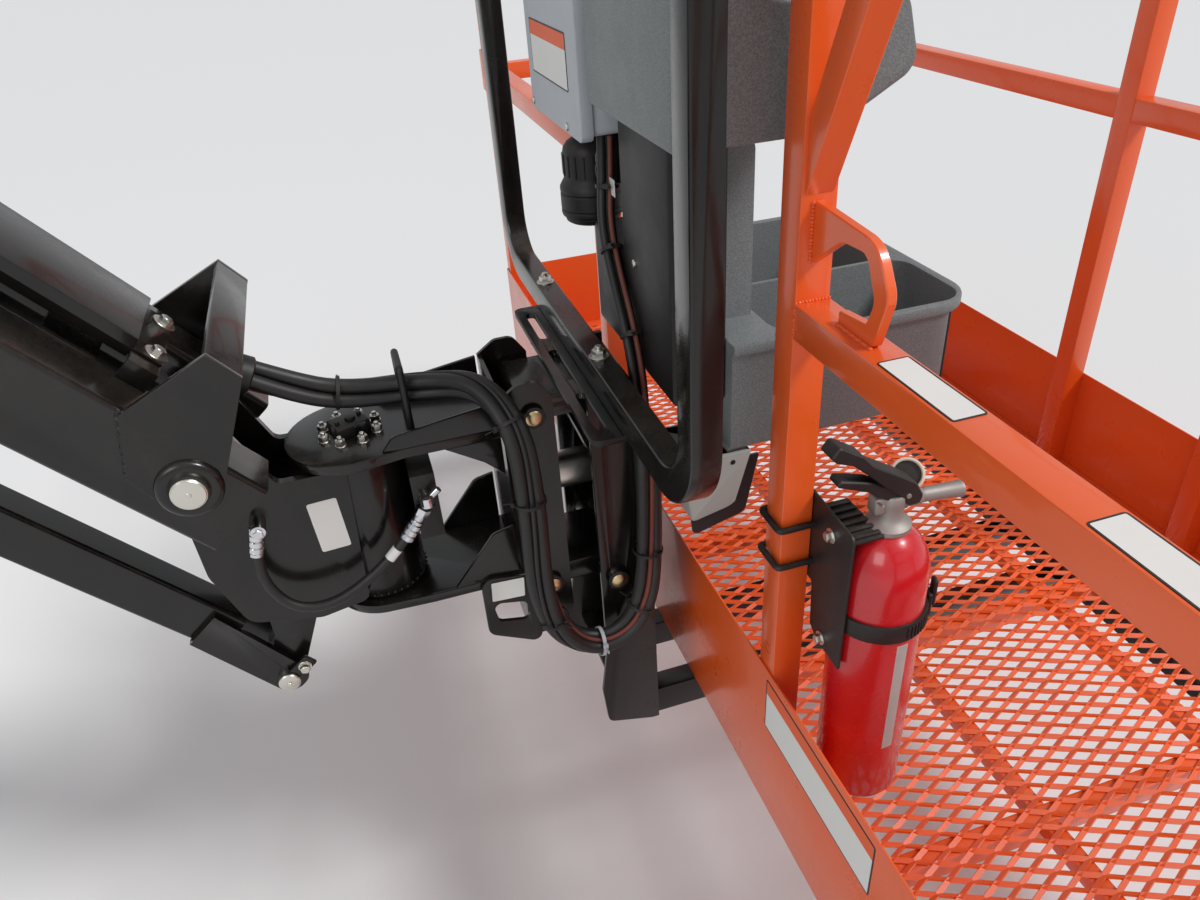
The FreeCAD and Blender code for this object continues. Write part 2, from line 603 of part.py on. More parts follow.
# Platform frame positions: x from the outer face of the boom side rails, z from the floor.
pivot = (-d.head_reach, d.head_rise)
link_pivot = (pivot[0] + d.link_ahead, pivot[1] - d.link_drop)
rotator_x = pivot[0] + d.rotator_ahead
housing = (d.arm_low + d.arm_plate + d.collar, d.arm_top - d.arm_plate - d.collar)


def front_knuckle():
    outer = d.head_half + d.head_plate
    crown = d.jib_pin + 24
    tangent_x = rotator_x - 14
    outline = [
        (pivot[0] - crown, pivot[1] - 10), (pivot[0] - crown + 12, pivot[1] + crown), (pivot[0] + 22, pivot[1] + crown),
        (rotator_x - d.disc_top - 14, housing[1]), (tangent_x, housing[1]), (tangent_x - 12, housing[0] + 6),
        (rotator_x - 92, housing[0] - 6), (link_pivot[0] - 18, housing[0] + 14), (pivot[0] - crown + 4, pivot[1] - 190),
    ]
    pieces = []
    for side in (-1, 1):
        pieces.append(plate("xz", outline, span(side, d.head_half, outer),
                            [(34, (1, 2)), (26, (0, 6, 7)), (40, (8,)), (14, (3, 5))]))
        pieces.append(rod("y", pivot, d.boss_radius, span(side, outer - 1, d.tube_inner - d.seat_gap)))
    inside = middle(d.head_half + 1)
    pieces.append(rod("y", pivot, d.jib_pin + 14, inside))
    pieces.append(rod("z", (rotator_x, 0), d.rotator_radius, housing))
    pieces.append(box((pivot[0] - 22, pivot[0] - 22 + d.web), inside, (housing[0] + 70, pivot[1] - 30)))
    pieces.append(box((pivot[0] - 8, rotator_x - 30), inside, (housing[1] - 40, housing[1] - 40 + d.web)))
    pieces.append(box((link_pivot[0], rotator_x - 30), inside, (housing[0] + 24, housing[0] + 24 + d.web)))
    lug = [
        (link_pivot[0] - d.ear_radius, link_pivot[1] - 4), (link_pivot[0] - d.ear_radius + 12, link_pivot[1] - d.ear_radius),
        (link_pivot[0] + d.ear_radius - 8, link_pivot[1] - d.ear_radius), (link_pivot[0] + d.ear_radius, link_pivot[1] + 6),
        (link_pivot[0] + 86, housing[0] + 30), (link_pivot[0] - 2, housing[0] + 30), (link_pivot[0] - 2, link_pivot[1] + 75),
        (link_pivot[0] - d.ear_radius, link_pivot[1] + 20),
    ]
    pieces.append(plate("xz", lug, middle(d.lug_half), [(11, (0, 1, 2, 3))]))
    bores = [rod("y", pivot, d.jib_pin + d.pin_clearance, middle(outer + 30)),
             rod("y", link_pivot, d.link_pin + d.pin_clearance, middle(outer + 30))]
    node("front_knuckle", "platform", [cut(fuse(pieces), bores)])


def valve_block():
    left = rotator_x + d.rotator_radius
    low = housing[0] + 92
    block = box((left, left + 32), (-72, 12), (low, low + 100))
    elbow = [rod("y", (left + 16, low + 70), 9, (-92, -71)), rod("z", (left + 16, -84), 7, (low + 58, low + 70))]
    node("valve_block", "platform", [fuse([block] + elbow)])


def arms():
    back = -d.mount_back
    flank = d.mount_half
    low = d.arm_top - d.arm_plate
    shoulder = rotator_x + d.arm_shoulder
    disc = rod("z", (rotator_x, 0), d.disc_top, (low, d.arm_top))
    neck = plate("xy", [(rotator_x, -d.disc_top), (shoulder, -flank), (back, -flank), (back, flank),
                        (shoulder, flank), (rotator_x, d.disc_top)], (low, d.arm_top))
    collar = rod("z", (rotator_x, 0), d.collar_radius, (low - d.collar, low))
    cap = box((rotator_x - 22, rotator_x + 22), middle(17), (d.arm_top, d.arm_top + 16))
    solids = [fuse([disc, neck]), collar, cap]
    start = rotator_x + d.gusset_start
    end = back - d.arm_gap
    over = [(start, d.arm_top), (start + 16, d.arm_top + d.gusset_rise * 0.5), (end, d.arm_top + d.gusset_rise), (end, d.arm_top)]
    under = [(end, low), (end, d.arm_top - d.gusset_fall), (end - 26, d.arm_top - d.gusset_fall + 26), (end - 74, low)]
    for side in (-1, 1):
        across = span(side, flank - d.mount_plate, flank)
        solids.append(plate("xz", over, across, [(12, (1,))]))
        solids.append(plate("xz", under, across, [(20, (2,))]))
    node("upper_arm", "platform", solids)
    top = d.arm_low + d.arm_plate
    disc = rod("z", (rotator_x, 0), d.disc_low, (d.arm_low, top))
    neck = plate("xy", [(rotator_x, -d.disc_low), (shoulder, -flank), (back, -flank), (back, flank),
                        (shoulder, flank), (rotator_x, d.disc_low)], (d.arm_low, top))
    solids = [fuse([disc, neck]), rod("z", (rotator_x, 0), d.collar_radius, (top, top + d.collar))]
    start = rotator_x + d.low_gusset_start
    outline = [(start, top), (start + 10, top + 12), (end - 30, top + d.low_gusset_rise - 6),
               (end, top + d.low_gusset_rise), (end, top)]
    for side in (-1, 1):
        solids.append(plate("xz", outline, span(side, flank - d.mount_plate, flank), [(20, (2,))]))
    node("lower_arm", "platform", solids)


def hose_hoop():
    """A bent wire over the upper arm that the loom runs through."""
    x = -d.mount_back - 112
    half = d.loom_radius + 12
    foot = d.arm_top
    rise = d.loom_radius * 2 + 66
    legs = [rod("z", (x, y), d.hoop_wire, (foot, foot + rise)) for y in (-half - 17, half - 17)]
    bar = rod("y", (x, foot + rise - d.hoop_wire), d.hoop_wire - 0.5, (-half - 17, half - 17))
    node("hose_hoop", "platform", [fuse(legs + [bar])])


def mounts():
    back = -d.mount_back
    front = back + d.mount_depth
    inner = d.mount_half - d.mount_plate
    heights = (d.mount_pin_low, d.mount_pin_high)
    outline = [(back, d.mount_low), (front - 6, d.mount_low), (front, d.mount_low + 40), (front, d.mount_top - 26),
               (front - 18, d.mount_top), (back + 26, d.mount_top), (back, d.mount_top - 18)]
    solids = [box((back, back + d.mount_plate), middle(inner), (d.mount_low, d.mount_top - 20))]
    bores = [rod("y", (-d.mount_pin_back, z), d.mount_pin + d.pin_clearance, middle(d.mount_half + 20)) for z in heights]
    for side in (-1, 1):
        solids.append(cut(plate("xz", outline, span(side, inner, d.mount_half), [(16, (4, 5))]), bores))
    for height in (d.mount_low + 20, d.mount_pin_high - 42):
        solids.append(box((back + d.mount_plate, front - 20), middle(inner), (height, height + d.mount_plate)))
    node("inner_mount", "platform", solids)

    rear = -d.outer_back
    face = -d.outer_front
    foot = -d.toe_drop - d.arm_depth
    outline = [(rear, d.outer_top), (face, d.outer_top), (face, foot), (face - 12, foot),
               (rear - 6, foot + 20), (rear - 12, -d.toe_drop + 40), (rear, 60)]
    inside = d.outer_half - d.outer_plate
    bores = [rod("y", (-d.mount_pin_front, z), d.mount_pin + d.pin_clearance, middle(d.outer_half + 20))
             for z in heights]
    solids = [box((face - d.outer_plate, face), middle(inside), (-d.toe_drop - 20, d.outer_top - 16))]
    for side in (-1, 1):
        solids.append(cut(plate("xz", outline, span(side, inside, d.outer_half), [(14, (4, 5))]), bores))
    for height in (-40, d.mount_pin_high - 90):
        solids.append(box((rear + 8, face - d.outer_plate), middle(inside), (height, height + d.outer_plate)))
    node("outer_mount", "platform", solids)

    bars, pins = [], []
    for height in heights:
        ends = (-d.mount_pin_back, -d.mount_pin_front)
        depth = (height - d.link_bar / 2, height + d.link_bar / 2)
        bar = fuse([box(ends, middle(d.link_bar_half), depth)]
                   + [rod("y", (x, height), d.link_bar / 2, middle(d.link_bar_half)) for x in ends])
        bars.append(cut(bar, [rod("y", (x, height), d.mount_pin + d.pin_clearance, middle(d.link_bar_half + 5))
                              for x in ends]))
        for x, half in zip(ends, (d.mount_half, d.outer_half)):
            pins.append(rod("y", (x, height), d.mount_pin, middle(half + d.mount_pin_proud)))
    node("mount_links", "platform", bars)
    node("mount_pins", "platform", pins)

    mid = (d.mount_pin_low + d.mount_pin_high) / 2
    cell = rod("x", (0, mid), d.cell_radius, (back + d.mount_plate, face - d.outer_plate))
    node("load_cell", "platform", [cell])


def transport_bracket():
    back = -d.mount_back
    near = -d.mount_half
    outline = [(back - 62, 244), (back + 8, d.mount_low + 124), (back + 18, d.mount_low - 14), (back - 62, 140)]
    hole = [(back - 50, 196), (back - 2, 186), (back + 4, 150), (back - 44, 160)]
    thickness = (near - 7, near)
    body = plate("xz", outline, thickness, [(18, (0, 3)), (12, (2,))])
    slot = plate("xz", hole, (near - 12, near + 5), [(10, (0, 1, 2, 3))])
    node("tie_down_plate", "platform", [cut(body, [slot])])


def support_arms():
    top = -d.toe_drop
    seat = (top, -d.mesh - d.beam)
    solids = []
    for side in (-1, 1):
        across = span(side, d.outer_half - d.outer_plate - d.arm_width, d.outer_half - d.outer_plate)
        outline = [(-d.outer_front, top), (-d.outer_front, top - d.arm_depth), (d.arm_reach - 60, top - d.arm_depth),
                   (d.arm_reach, top - d.arm_depth + 30), (d.arm_reach, top)]
        wall = d.arm_wall
        void = box((-d.outer_front - 1, d.arm_reach - 70), (across[0] + wall, across[1] - wall),
                   (top - d.arm_depth + wall, top - wall))
        solids.append(cut(plate("xz", outline, across), [void]))
        solids.append(box((2, d.beam - 2), across, seat))
    cross = (d.arm_reach - 90, d.arm_reach - 90 + d.beam)
    solids.append(box(cross, middle(1.5 * d.beam_pitch + d.cross_beam / 2), seat))
    node("support_arms", "platform", solids)


def slotted_plate():
    z = (d.outer_top, d.outer_top + d.slot_plate)
    corners = [(-d.slot_rear, -d.slot_span), (-d.slot_front, -d.slot_span), (-d.slot_front, d.slot_span),
               (-d.slot_rear, d.slot_span)]
    base = plate("xy", corners, z, [(12, (0, 3))])
    slots = []
    middle_x = -(d.slot_rear + d.hoop_back) / 2
    for start in (-d.slot_span + 26, -d.slot_length / 2, d.slot_span - 26 - d.slot_length):
        ends = (start + d.slot_width / 2, start + d.slot_length - d.slot_width / 2)
        deep = (d.outer_top - 5, d.outer_top + d.slot_plate + 5)
        slots.append(box((middle_x - d.slot_width / 2, middle_x + d.slot_width / 2), ends, deep))
        slots += [rod("z", (middle_x, y), d.slot_width / 2, deep) for y in ends]
    node("slotted_plate", "platform", [cut(base, slots)])


def console_guard():
    low = d.outer_top + d.slot_plate
    top = d.rail_top
    rear = -d.hoop_back
    outer = [(-d.hoop_half, low), (d.hoop_half, low), (d.hoop_half, top), (-d.hoop_half, top)]
    inner_half = d.hoop_half - d.hoop_face
    inner = [(-inner_half, low + d.hoop_face), (inner_half, low + d.hoop_face), (inner_half, top + 10),
             (-inner_half, top + 10)]
    hoop = cut(plate("yz", outer, (rear, rear + d.hoop_tube), [(d.hoop_bend, (0, 1))]),
               [plate("yz", inner, (rear - 5, rear + d.hoop_tube + 5), [(d.hoop_bend - d.hoop_face, (0, 1))])])
    wall = d.rail_wall
    half = d.hoop_half - wall
    void_z = (low + wall, top - d.hoop_shoulder - 5)
    core = plate("yz", [(-half, void_z[0]), (half, void_z[0]), (half, void_z[1]), (-half, void_z[1])],
                 (rear + wall, rear + d.hoop_tube - wall), [(d.hoop_bend - wall, (0, 1))])
    half = inner_half + wall
    floor_z = low + d.hoop_face - wall
    keep = plate("yz", [(-half, floor_z), (half, floor_z), (half, top), (-half, top)],
                 (rear - 5, rear + d.hoop_tube + 5), [(d.hoop_bend - d.hoop_face + wall, (0, 1))])
    hoop = cut(hoop, [cut(core, [keep])])
    turns = [box((rear + d.hoop_tube - 1, Size(0)), span(side, inner_half, d.hoop_half), (top - d.hoop_tube, top))
             for side in (-1, 1)]
    edge = plate("xz", [(rear - 5, top - d.hoop_shoulder), (rear, top - d.hoop_shoulder),
                        (rear + d.hoop_shoulder * 0.3, top - d.hoop_shoulder * 0.3), (rear + d.hoop_shoulder, top),
                        (rear + d.hoop_shoulder, top + 5), (rear - 5, top + 5)], middle(d.hoop_half + 5))
    node("console_guard", "platform", [cut(fuse([hoop] + turns), [edge])])


def console():
    rear = -d.box_back
    box_back = rear + d.box_lid
    body = plate("yz", [(d.box_near, d.box_low), (d.box_far, d.box_low), (d.box_far, d.box_high),
                        (d.box_near, d.box_high)], (box_back + d.seat_gap, rear + d.box_depth), [(10, (0, 1, 2, 3))])
    node("socket_box", "platform", [body])
    grow = 5
    lid = plate("yz", [(d.box_near - grow, d.box_low - grow), (d.box_far + grow, d.box_low - grow),
                       (d.box_far + grow, d.box_high + grow), (d.box_near - grow, d.box_high + grow)],
                (rear, box_back), [(12, (0, 1, 2, 3))])
    node("socket_box_lid", "platform", [lid])
    knob_z = d.box_low + 70
    knob_x = rear + d.box_depth / 2 + 8
    near = (d.box_near - 34, d.box_near)
    knob = fuse([rod("y", (knob_x, knob_z), 12, near),
                 rod("y", (knob_x, knob_z), 27, (d.box_near - 34, d.box_near - 12))])
    sockets = []
    for x, y, radius, drop in ((rear + 52, d.box_near + 150, d.plug_radius, 150), (rear + 56, d.box_near + 52, 24, 70)):
        low = d.box_low - d.seat_gap
        sockets.append(fuse([rod("z", (x, y), radius * 0.72, (low - drop * 0.28, low)),
                             rod("z", (x, y), radius, (low - drop, low - drop * 0.28))]))
    node("cable_sockets", "platform", sockets + [knob])

    front = Size(0)
    cover = plate("xz", [(-d.cover_back, d.panel_low), (-d.cover_back, d.cover_low), (front, d.cover_low),
                         (front, d.panel_low)], (-d.cover_near, d.box_near - 42), [(16, (1,))])
    foot_top = d.box_low - 130
    foot = plate("xz", [(-d.cover_back, foot_top), (-d.cover_back, d.cover_low), (front, d.cover_low),
                        (front, foot_top)], (d.box_near - 43, d.cover_far), [(16, (1,))])
    node("console_cover", "platform", [fuse([cover, foot])])
    deck = d.panel_high - d.deck_drop
    outline = [(rear, d.panel_low), (d.tray_back, d.panel_low), (d.panel_front, d.panel_low + d.panel_slope),
               (d.panel_front - 20, deck), (-8, deck), (rear + 55, d.panel_high), (rear, d.panel_high)]
    panel = plate("xz", outline, (-d.panel_half, d.box_near - 42), [(24, (2, 3)), (10, (5, 6))])
    sticks = []
    for y in (-d.panel_half + 70, -d.panel_half + 190):
        x = d.panel_front - 90
        z = deck
        sticks.append(fuse([rod("z", (x, y), 24, (z, z + 26)), rod("z", (x, y), 11, (z + 20, z + 96))]))
    node("control_console", "platform", [panel] + sticks)
    hangers = [box((14, 20), (y, y + 40), (deck, d.rail_top - d.rail)) for y in (-d.panel_half + 110, d.box_near - 100)]
    hangers.append(box((rear + d.box_depth, 0), (d.box_near + 24, d.box_far - 24), (d.box_low + 30, d.rail_top - 4)))
    node("console_hangers", "platform", hangers)


def tool_tray():
    rim, low, wall = d.tray_rim, d.tray_low, d.tray_wall
    near, far = -d.tray_near, d.tray_far
    head = d.panel_low - d.tray_under
    block = plate("xy", [(0, near), (d.tray_reach, near), (d.tray_reach, far), (0, far)], (low, rim),
                  [(d.tray_round, (1, 2))])
    lip = plate("xy", [(0, near - 6), (d.tray_reach + 6, near - 6), (d.tray_reach + 6, far + 6), (0, far + 6)],
                (rim - 14, rim), [(d.tray_round, (1, 2))])
    back = plate("xz", [(0, low), (d.tray_back, low), (d.tray_back, head - 40), (d.tray_back - 20, head),
                        (0, head)], (near + 70, far - 60), [(16, (2, 3))])
    divide = near + (d.tray_near + d.tray_far) * 0.42
    pockets = []
    for y_low, y_high in ((near + wall, divide - wall / 2), (divide + wall / 2, far - wall)):
        pockets.append(plate("xy", [(d.tray_back + wall, y_low), (d.tray_reach - wall, y_low),
                                    (d.tray_reach - wall, y_high), (d.tray_back + wall, y_high)],
                             (low + wall, rim + 10), [(34, (0, 1, 2, 3))]))
    node("tool_tray", "platform", [cut(fuse([block, lip, back]), pockets)])
    top = low - 7
    outline = [(-66, top), (30, top), (8, top - 198), (-52, top - 186)]
    holder = plate("xz", outline, (-d.tray_near, -d.tray_near + 96), [(12, (2, 3))])
    hang = box((2, 26), (-d.tray_near + 10, -d.tray_near + 80), (top - 8, low))
    node("document_holder", "platform", [fuse([holder, hang])])


def platform_rails():
    half = d.length / 2
    far = (d.depth - d.rail, d.depth)
    near = (Size(0), d.rail)
    post_z = (-d.mesh, d.rail_top - d.rail)
    top = (d.rail_top - d.rail, d.rail_top)
    mid = (d.mid_top - d.rail, d.mid_top)
    posts, mids = [], []
    for side in (-1, 1):
        corner = span(side, half - d.rail, half)
        near_post = span(side, d.post_near - d.rail / 2, d.post_near + d.rail / 2)
        far_post = span(side, d.post_far - d.rail / 2, d.post_far + d.rail / 2)
        for x, y in ((near, corner), (far, corner), (near, near_post), (far, far_post)):
            posts.append(tube(x, y, post_z, d.rail_wall, "z"))
        mids.append(tube(near, span(side, d.post_near + d.rail / 2, half - d.rail), mid, d.rail_wall, "y"))
        mids.append(tube(far, span(side, d.post_far + d.rail / 2, half - d.rail), mid, d.rail_wall, "y"))
    mids.append(tube(far, middle(d.post_far - d.rail / 2), mid, d.rail_wall, "y"))
    node("platform_posts", "platform", posts)
    node("mid_rails", "platform", mids)
    tops = [tube(x, middle(half), top, d.rail_wall, "y") for x in (near, far)]
    node("top_rails", "platform", tops)
    across = (d.rail, d.depth - d.rail)
    node("end_rail", "platform", [tube(across, (half - d.rail, half), top, d.rail_wall, "x")])


def rail_braces():
    braces = []
    for side in (-1, 1):
        foot = d.post_near + d.rail / 2
        low = d.mid_top + d.lanyard_rise + d.seat_gap
        high = low + d.brace_width / sine(d.brace_lean)
        head = d.rail_top - d.rail
        far_low = foot + (head - low) * tangent(d.brace_lean)
        far_high = foot + (head - high) * tangent(d.brace_lean)
        outline = [(side * foot, low), (side * far_low, head), (side * far_high, head), (side * foot, high)]
        braces.append(plate("yz", outline, (4, 4 + d.brace_width)))
    node("rail_braces", "platform", braces)


def toe_boards():
    half = d.length / 2
    high = (-d.toe_drop, d.toe_top)
    sides = [box(x, middle(half + d.toe_sheet), high)
             for x in ((-d.toe_sheet, 0), (d.depth, d.depth + d.toe_sheet))]
    node("side_toe_boards", "platform", sides)
    ends = [box((0, d.depth), span(side, half, half + d.toe_sheet), high) for side in (-1, 1)]
    node("end_toe_boards", "platform", ends)


def floor():
    half = d.length / 2
    deep = -d.mesh - d.beam
    under = (deep, -d.mesh)
    long_beams = [tube(x, middle(half), under, d.rail_wall, "y") for x in ((0, d.beam), (d.depth - d.beam, d.depth))]
    node("floor_side_beams", "platform", long_beams)
    across = (d.beam, d.depth - d.beam)
    beams, edges = [], [-half + d.beam]
    count = int((d.length.value / 2 - d.beam.value - d.cross_beam.value) // d.beam_pitch.value + 0.5)
    for step in range(-count, count):
        middle_y = (step + 0.5) * d.beam_pitch
        low, high = middle_y - d.cross_beam / 2, middle_y + d.cross_beam / 2
        beams.append(tube(across, (low, high), under, d.rail_wall, "x"))
        edges += [low, high]
    for low in (-half, half - d.beam):
        beams.append(tube(across, (low, low + d.beam), under, d.rail_wall, "x"))
    edges.append(half - d.beam)
    node("floor_cross_beams", "platform", beams)
    bars = []
    for x in (d.stringer_first, d.stringer_second):
        for low, high in zip(edges[::2], edges[1::2]):
            bars.append(box((x, x + d.stringer), (low, high), (-d.mesh - d.stringer, -d.mesh)))
    node("floor_stringers", "platform", bars)

    edge = d.rail + d.seat_gap
    sheet_body = box((edge, d.depth - edge), middle(half - edge), (-d.mesh, 0))
    long_way, short_way = d.mesh_long.value, d.mesh_short.value
    slant = math.hypot(long_way, short_way)
    keep = 1 - d.mesh_strand.value * slant / (long_way * short_way)
    reach_x, reach_y = keep * long_way / 2, keep * short_way / 2
    columns = int(d.depth.value / long_way) + 2
    rows = int(d.length.value / short_way / 2) + 2
    openings = []
    for row in range(-2 * rows, 2 * rows + 1):
        for column in range(columns):
            x = (column + 0.5 * (row % 2)) * long_way
            y = row * short_way / 2
            ring = [Vector(x - reach_x, y, -20), Vector(x, y - reach_y, -20), Vector(x + reach_x, y, -20),
                    Vector(x, y + reach_y, -20)]
            openings.append(Part.Face(Part.makePolygon(ring + ring[:1])).extrude(Vector(0, 0, 40)))
    border = edge.value + d.mesh_strand.value / 2
    room = Part.makeBox(d.depth.value - 2 * border, d.length.value - 2 * border, 30,
                        Vector(border, border - d.length.value / 2, -15))
    inside = [opening.common(room) for opening in openings]
    holes = doc.addObject("Part::Feature", "mesh_openings")
    holes.Shape = Part.makeCompound([shape for shape in inside if shape.Volume > 1000])
    node("floor_mesh", "platform", [cut(sheet_body, [holes])])


def lanyard_plates():
    plates = []
    for side in (-1, 1):
        root = d.post_near + d.rail / 2
        x = ((d.rail - d.lanyard_sheet) / 2, (d.rail + d.lanyard_sheet) / 2)
        outline = [(side * root, d.mid_top), (side * (root + d.lanyard_reach), d.mid_top),
                   (side * (root + d.lanyard_reach), d.mid_top + d.lanyard_rise), (side * root, d.mid_top + d.lanyard_rise)]
        band = d.lanyard_band
        hole = [(side * (root + 40), d.mid_top + band * 0.5), (side * (root + d.lanyard_reach - band), d.mid_top + band * 0.5),
                (side * (root + d.lanyard_reach - band), d.mid_top + d.lanyard_rise - band),
                (side * (root + 40), d.mid_top + d.lanyard_rise - band)]
        plates.append(cut(plate("yz", outline, x, [(d.lanyard_round, (2,))]),
                          [plate("yz", hole, (x[0] - 5, x[1] + 5), [(22, (2,)), (8, (0, 1, 3))])]))
    node("lanyard_plates", "platform", plates)


def extinguisher():
    face = -(d.post_near + d.rail / 2)
    back = (face - d.bracket_sheet, face)
    axis = (d.bottle_ahead, face - d.bracket_gap - d.bottle_radius)
    low, high = d.bottle_low, d.bottle_high
    body = rod("z", axis, d.bottle_radius, (low, high - 26))
    cone = doc.addObject("Part::Cone", "shoulder")
    bind(cone, Radius1=d.bottle_radius, Radius2=18, Height=36)
    place(cone, axis[0], axis[1], high - 27)
    hollow = rod("z", axis, d.bottle_radius - d.rail_wall, (low + d.rail_wall, high - 30))
    node("extinguisher_bottle", "platform", [cut(fuse([body, cone]), [hollow])])
    neck = rod("z", axis, 13, (high + 9, high + 46))
    head = box((axis[0] - 30, axis[0] + 20), (axis[1] - 13, axis[1] + 13), (high + 40, high + 62))
    lever = box((axis[0] - 92, axis[0] + 6), (axis[1] - 9, axis[1] + 9), (high + 74, high + 82))
    grip = box((axis[0] - 84, axis[0] - 20), (axis[1] - 9, axis[1] + 9), (high + 50, high + 57))
    joint = box((axis[0] - 22, axis[0] + 6), (axis[1] - 7, axis[1] + 7), (high + 60, high + 76))
    nozzle = rod("x", (axis[1], high + 50), 10, (axis[0] + 18, axis[0] + 84))
    node("extinguisher_valve", "platform", [fuse([neck, head, lever, grip, joint, nozzle])])
    plate_back = box((Size(0) + 2, axis[0] + 16), back, (low + 130, high + 76))
    ribs = [box((axis[0] - 20, axis[0] + 20), (face - d.bracket_gap + d.seat_gap, face - 1), (z, z + 26))
            for z in (low + 160, high - 90)]
    bolts = []
    inner_face = face + d.rail
    for z in (high + 20, high + 48):
        for x in (-5, d.rail + 5):
            bolts.append(rod("y", (x, z), 4, (back[0] - 8, inner_face + 6)))
        bolts.append(box((-10, d.rail + 10), (inner_face + 1, inner_face + 10), (z - 5, z + 5)))
    strap_outer = rod("z", axis, d.bottle_radius + 3, (low + 158, low + 182))
    strap_inner = rod("z", axis, d.bottle_radius + d.seat_gap, (low + 150, low + 190))
    strap_trim = box((axis[0] - 90, axis[0] + 90), (face - d.bracket_gap - 0.1, face + 30), (low + 150, low + 190))
    buckle = box((axis[0] + 18, axis[0] + 46), (axis[1] - d.bottle_radius - 12, axis[1] - d.bottle_radius + 6),
                 (low + 154, low + 186))
    strap = cut(fuse([strap_outer, buckle]), [strap_inner, strap_trim])
    node("extinguisher_bracket", "platform", [fuse([plate_back] + ribs + bolts), strap])


def gate():
    half = d.length / 2
    y = (-half, -half + d.rail)
    ends = (d.rail + d.gate_gap, d.depth - d.rail - d.gate_gap)
    pivot_y = -half + d.rail + d.hinge_out
    stiles = []
    for low in (ends[0], ends[1] - d.rail):
        stiles.append(tube((low, low + d.rail), y, (d.gate_low, d.rail_top), d.rail_wall, "z"))
    hinges = []
    for z in (d.gate_low + 90, d.rail_top - 190):
        leaf = box((ends[1] - d.rail, d.depth - d.rail), (y[1] - 0.5, y[1] + 4), (z, z + 36))
        barrel = rod("z", (d.depth - d.rail, pivot_y), d.hinge_radius, (z, z + 36))
        hinges += [leaf, barrel]
    stiles[1] = fuse([stiles[1]] + hinges)
    node("gate_stiles", "platform", stiles)
    rails = [tube((ends[0] + d.rail, ends[1] - d.rail), y, (top - d.rail, top), d.rail_wall, "x")
             for top in (d.rail_top, d.mid_top, d.gate_low + d.rail)]
    node("gate_rails", "platform", rails)
    pins = []
    for z in (d.gate_low + 90, d.rail_top - 190):
        bracket = box((d.depth - d.rail, d.depth - 4), (-half + d.rail, -half + d.rail + 4), (z - 24, z - 2))
        knuckle = rod("z", (d.depth - d.rail, pivot_y), d.hinge_radius, (z - 24, z - 2))
        pins.append(fuse([bracket, knuckle]))
    node("gate_hinges", "platform", pins)


def entry_bar():
    half = d.length / 2
    gap, wall = d.sleeve_gap, d.sleeve_wall
    grow = gap + wall
    z = (d.mid_top - d.rail - 20, d.mid_top - d.rail - 20 + d.sleeve_height)
    pieces = [tube((d.rail + gap + 1, d.depth - d.rail - gap - 1), (half - d.rail + 6, half),
                   (d.mid_top - d.rail, d.mid_top), d.rail_wall, "x")]
    holes = []
    for low in (Size(0), d.depth - d.rail):
        pieces.append(box((low - grow, low + d.rail + grow), (half - d.rail + 6, half + grow), z))
        holes.append(box((low - gap, low + d.rail + gap), (half - d.rail - gap, half + gap), (z[0] - 5, z[1] + 5)))
    node("entry_bar", "platform", [cut(fuse(pieces), holes)])


def route_tube(name, frame, points, radius):
    """A hose along hand-set points: straight runs joined by the largest arcs that fit."""
    places = [Vector(*point) for point in points]
    edges = []
    start = places[0]
    for before, corner, after in zip(places, places[1:], places[2:]):
        inward, outward = corner - before, after - corner
        turn = inward.getAngle(outward)
        reach = 0.45 * min(inward.Length, outward.Length)
        bend = reach / math.tan(turn / 2)
        ahead = Vector(inward).normalize()
        onward = Vector(outward).normalize()
        first = corner - ahead * reach
        last = corner + onward * reach
        centre_way = (onward - ahead).normalize()
        centre = corner + centre_way * (bend / math.cos(turn / 2))
        middle_point = centre - centre_way * bend
        edges.append(Part.LineSegment(start, first).toShape())
        edges.append(Part.Arc(first, middle_point, last).toShape())
        print("%s bend radius %.0f" % (name, bend))
        start = last
    edges.append(Part.LineSegment(start, places[-1]).toShape())
    wire = Part.Wire(edges)
    way = (places[1] - places[0]).normalize()
    ring = Part.Wire([Part.Circle(places[0], way, radius.value).toShape()])
    tube = wire.makePipeShell([ring], True, False)
    expected = math.pi * radius.value ** 2 * wire.Length
    print("%s length %.0f volume ratio %.4f" % (name, wire.Length, tube.Volume / expected))
    piece = doc.addObject("Part::Feature", "route")
    piece.Shape = tube
    return node(name, frame, [piece])


LOOM = [
    (-524, -12, 574), (-450, -8, 536), (-350, -20, 535), (-284, -66, 546), (-252, -126, 504), (-247, -138, 400),
    (-250, -137, 240), (-222, -135, 146), (-165, -134, 112), (-108, -131, 146), (-84, -126, 240), (-84, -119.5, 430),
]
SUPPLY = [(-84, -119.5, 430), (-84, -116.8, 510), (-83, -88, 578), (-81, -34, 634), (-79, 10, 692), (-66, 30, 752),
          (-66, 30, 800)]
FEED = [(-374, -84, 390), (-374, -84, 352), (-404, -88, 318), (-458, -94, 290), (-516, -98, 276), (-564, -96, 282),
        (-592, -88, 318), (-598, -80, 366), (-584, -76, 418)]


def hoses():
    route_tube("hose_loom", "platform", LOOM, d.loom_radius)
    route_tube("supply_hoses", "platform", SUPPLY, d.supply_radius)
    route_tube("feed_hose", "platform", FEED, d.feed_radius)


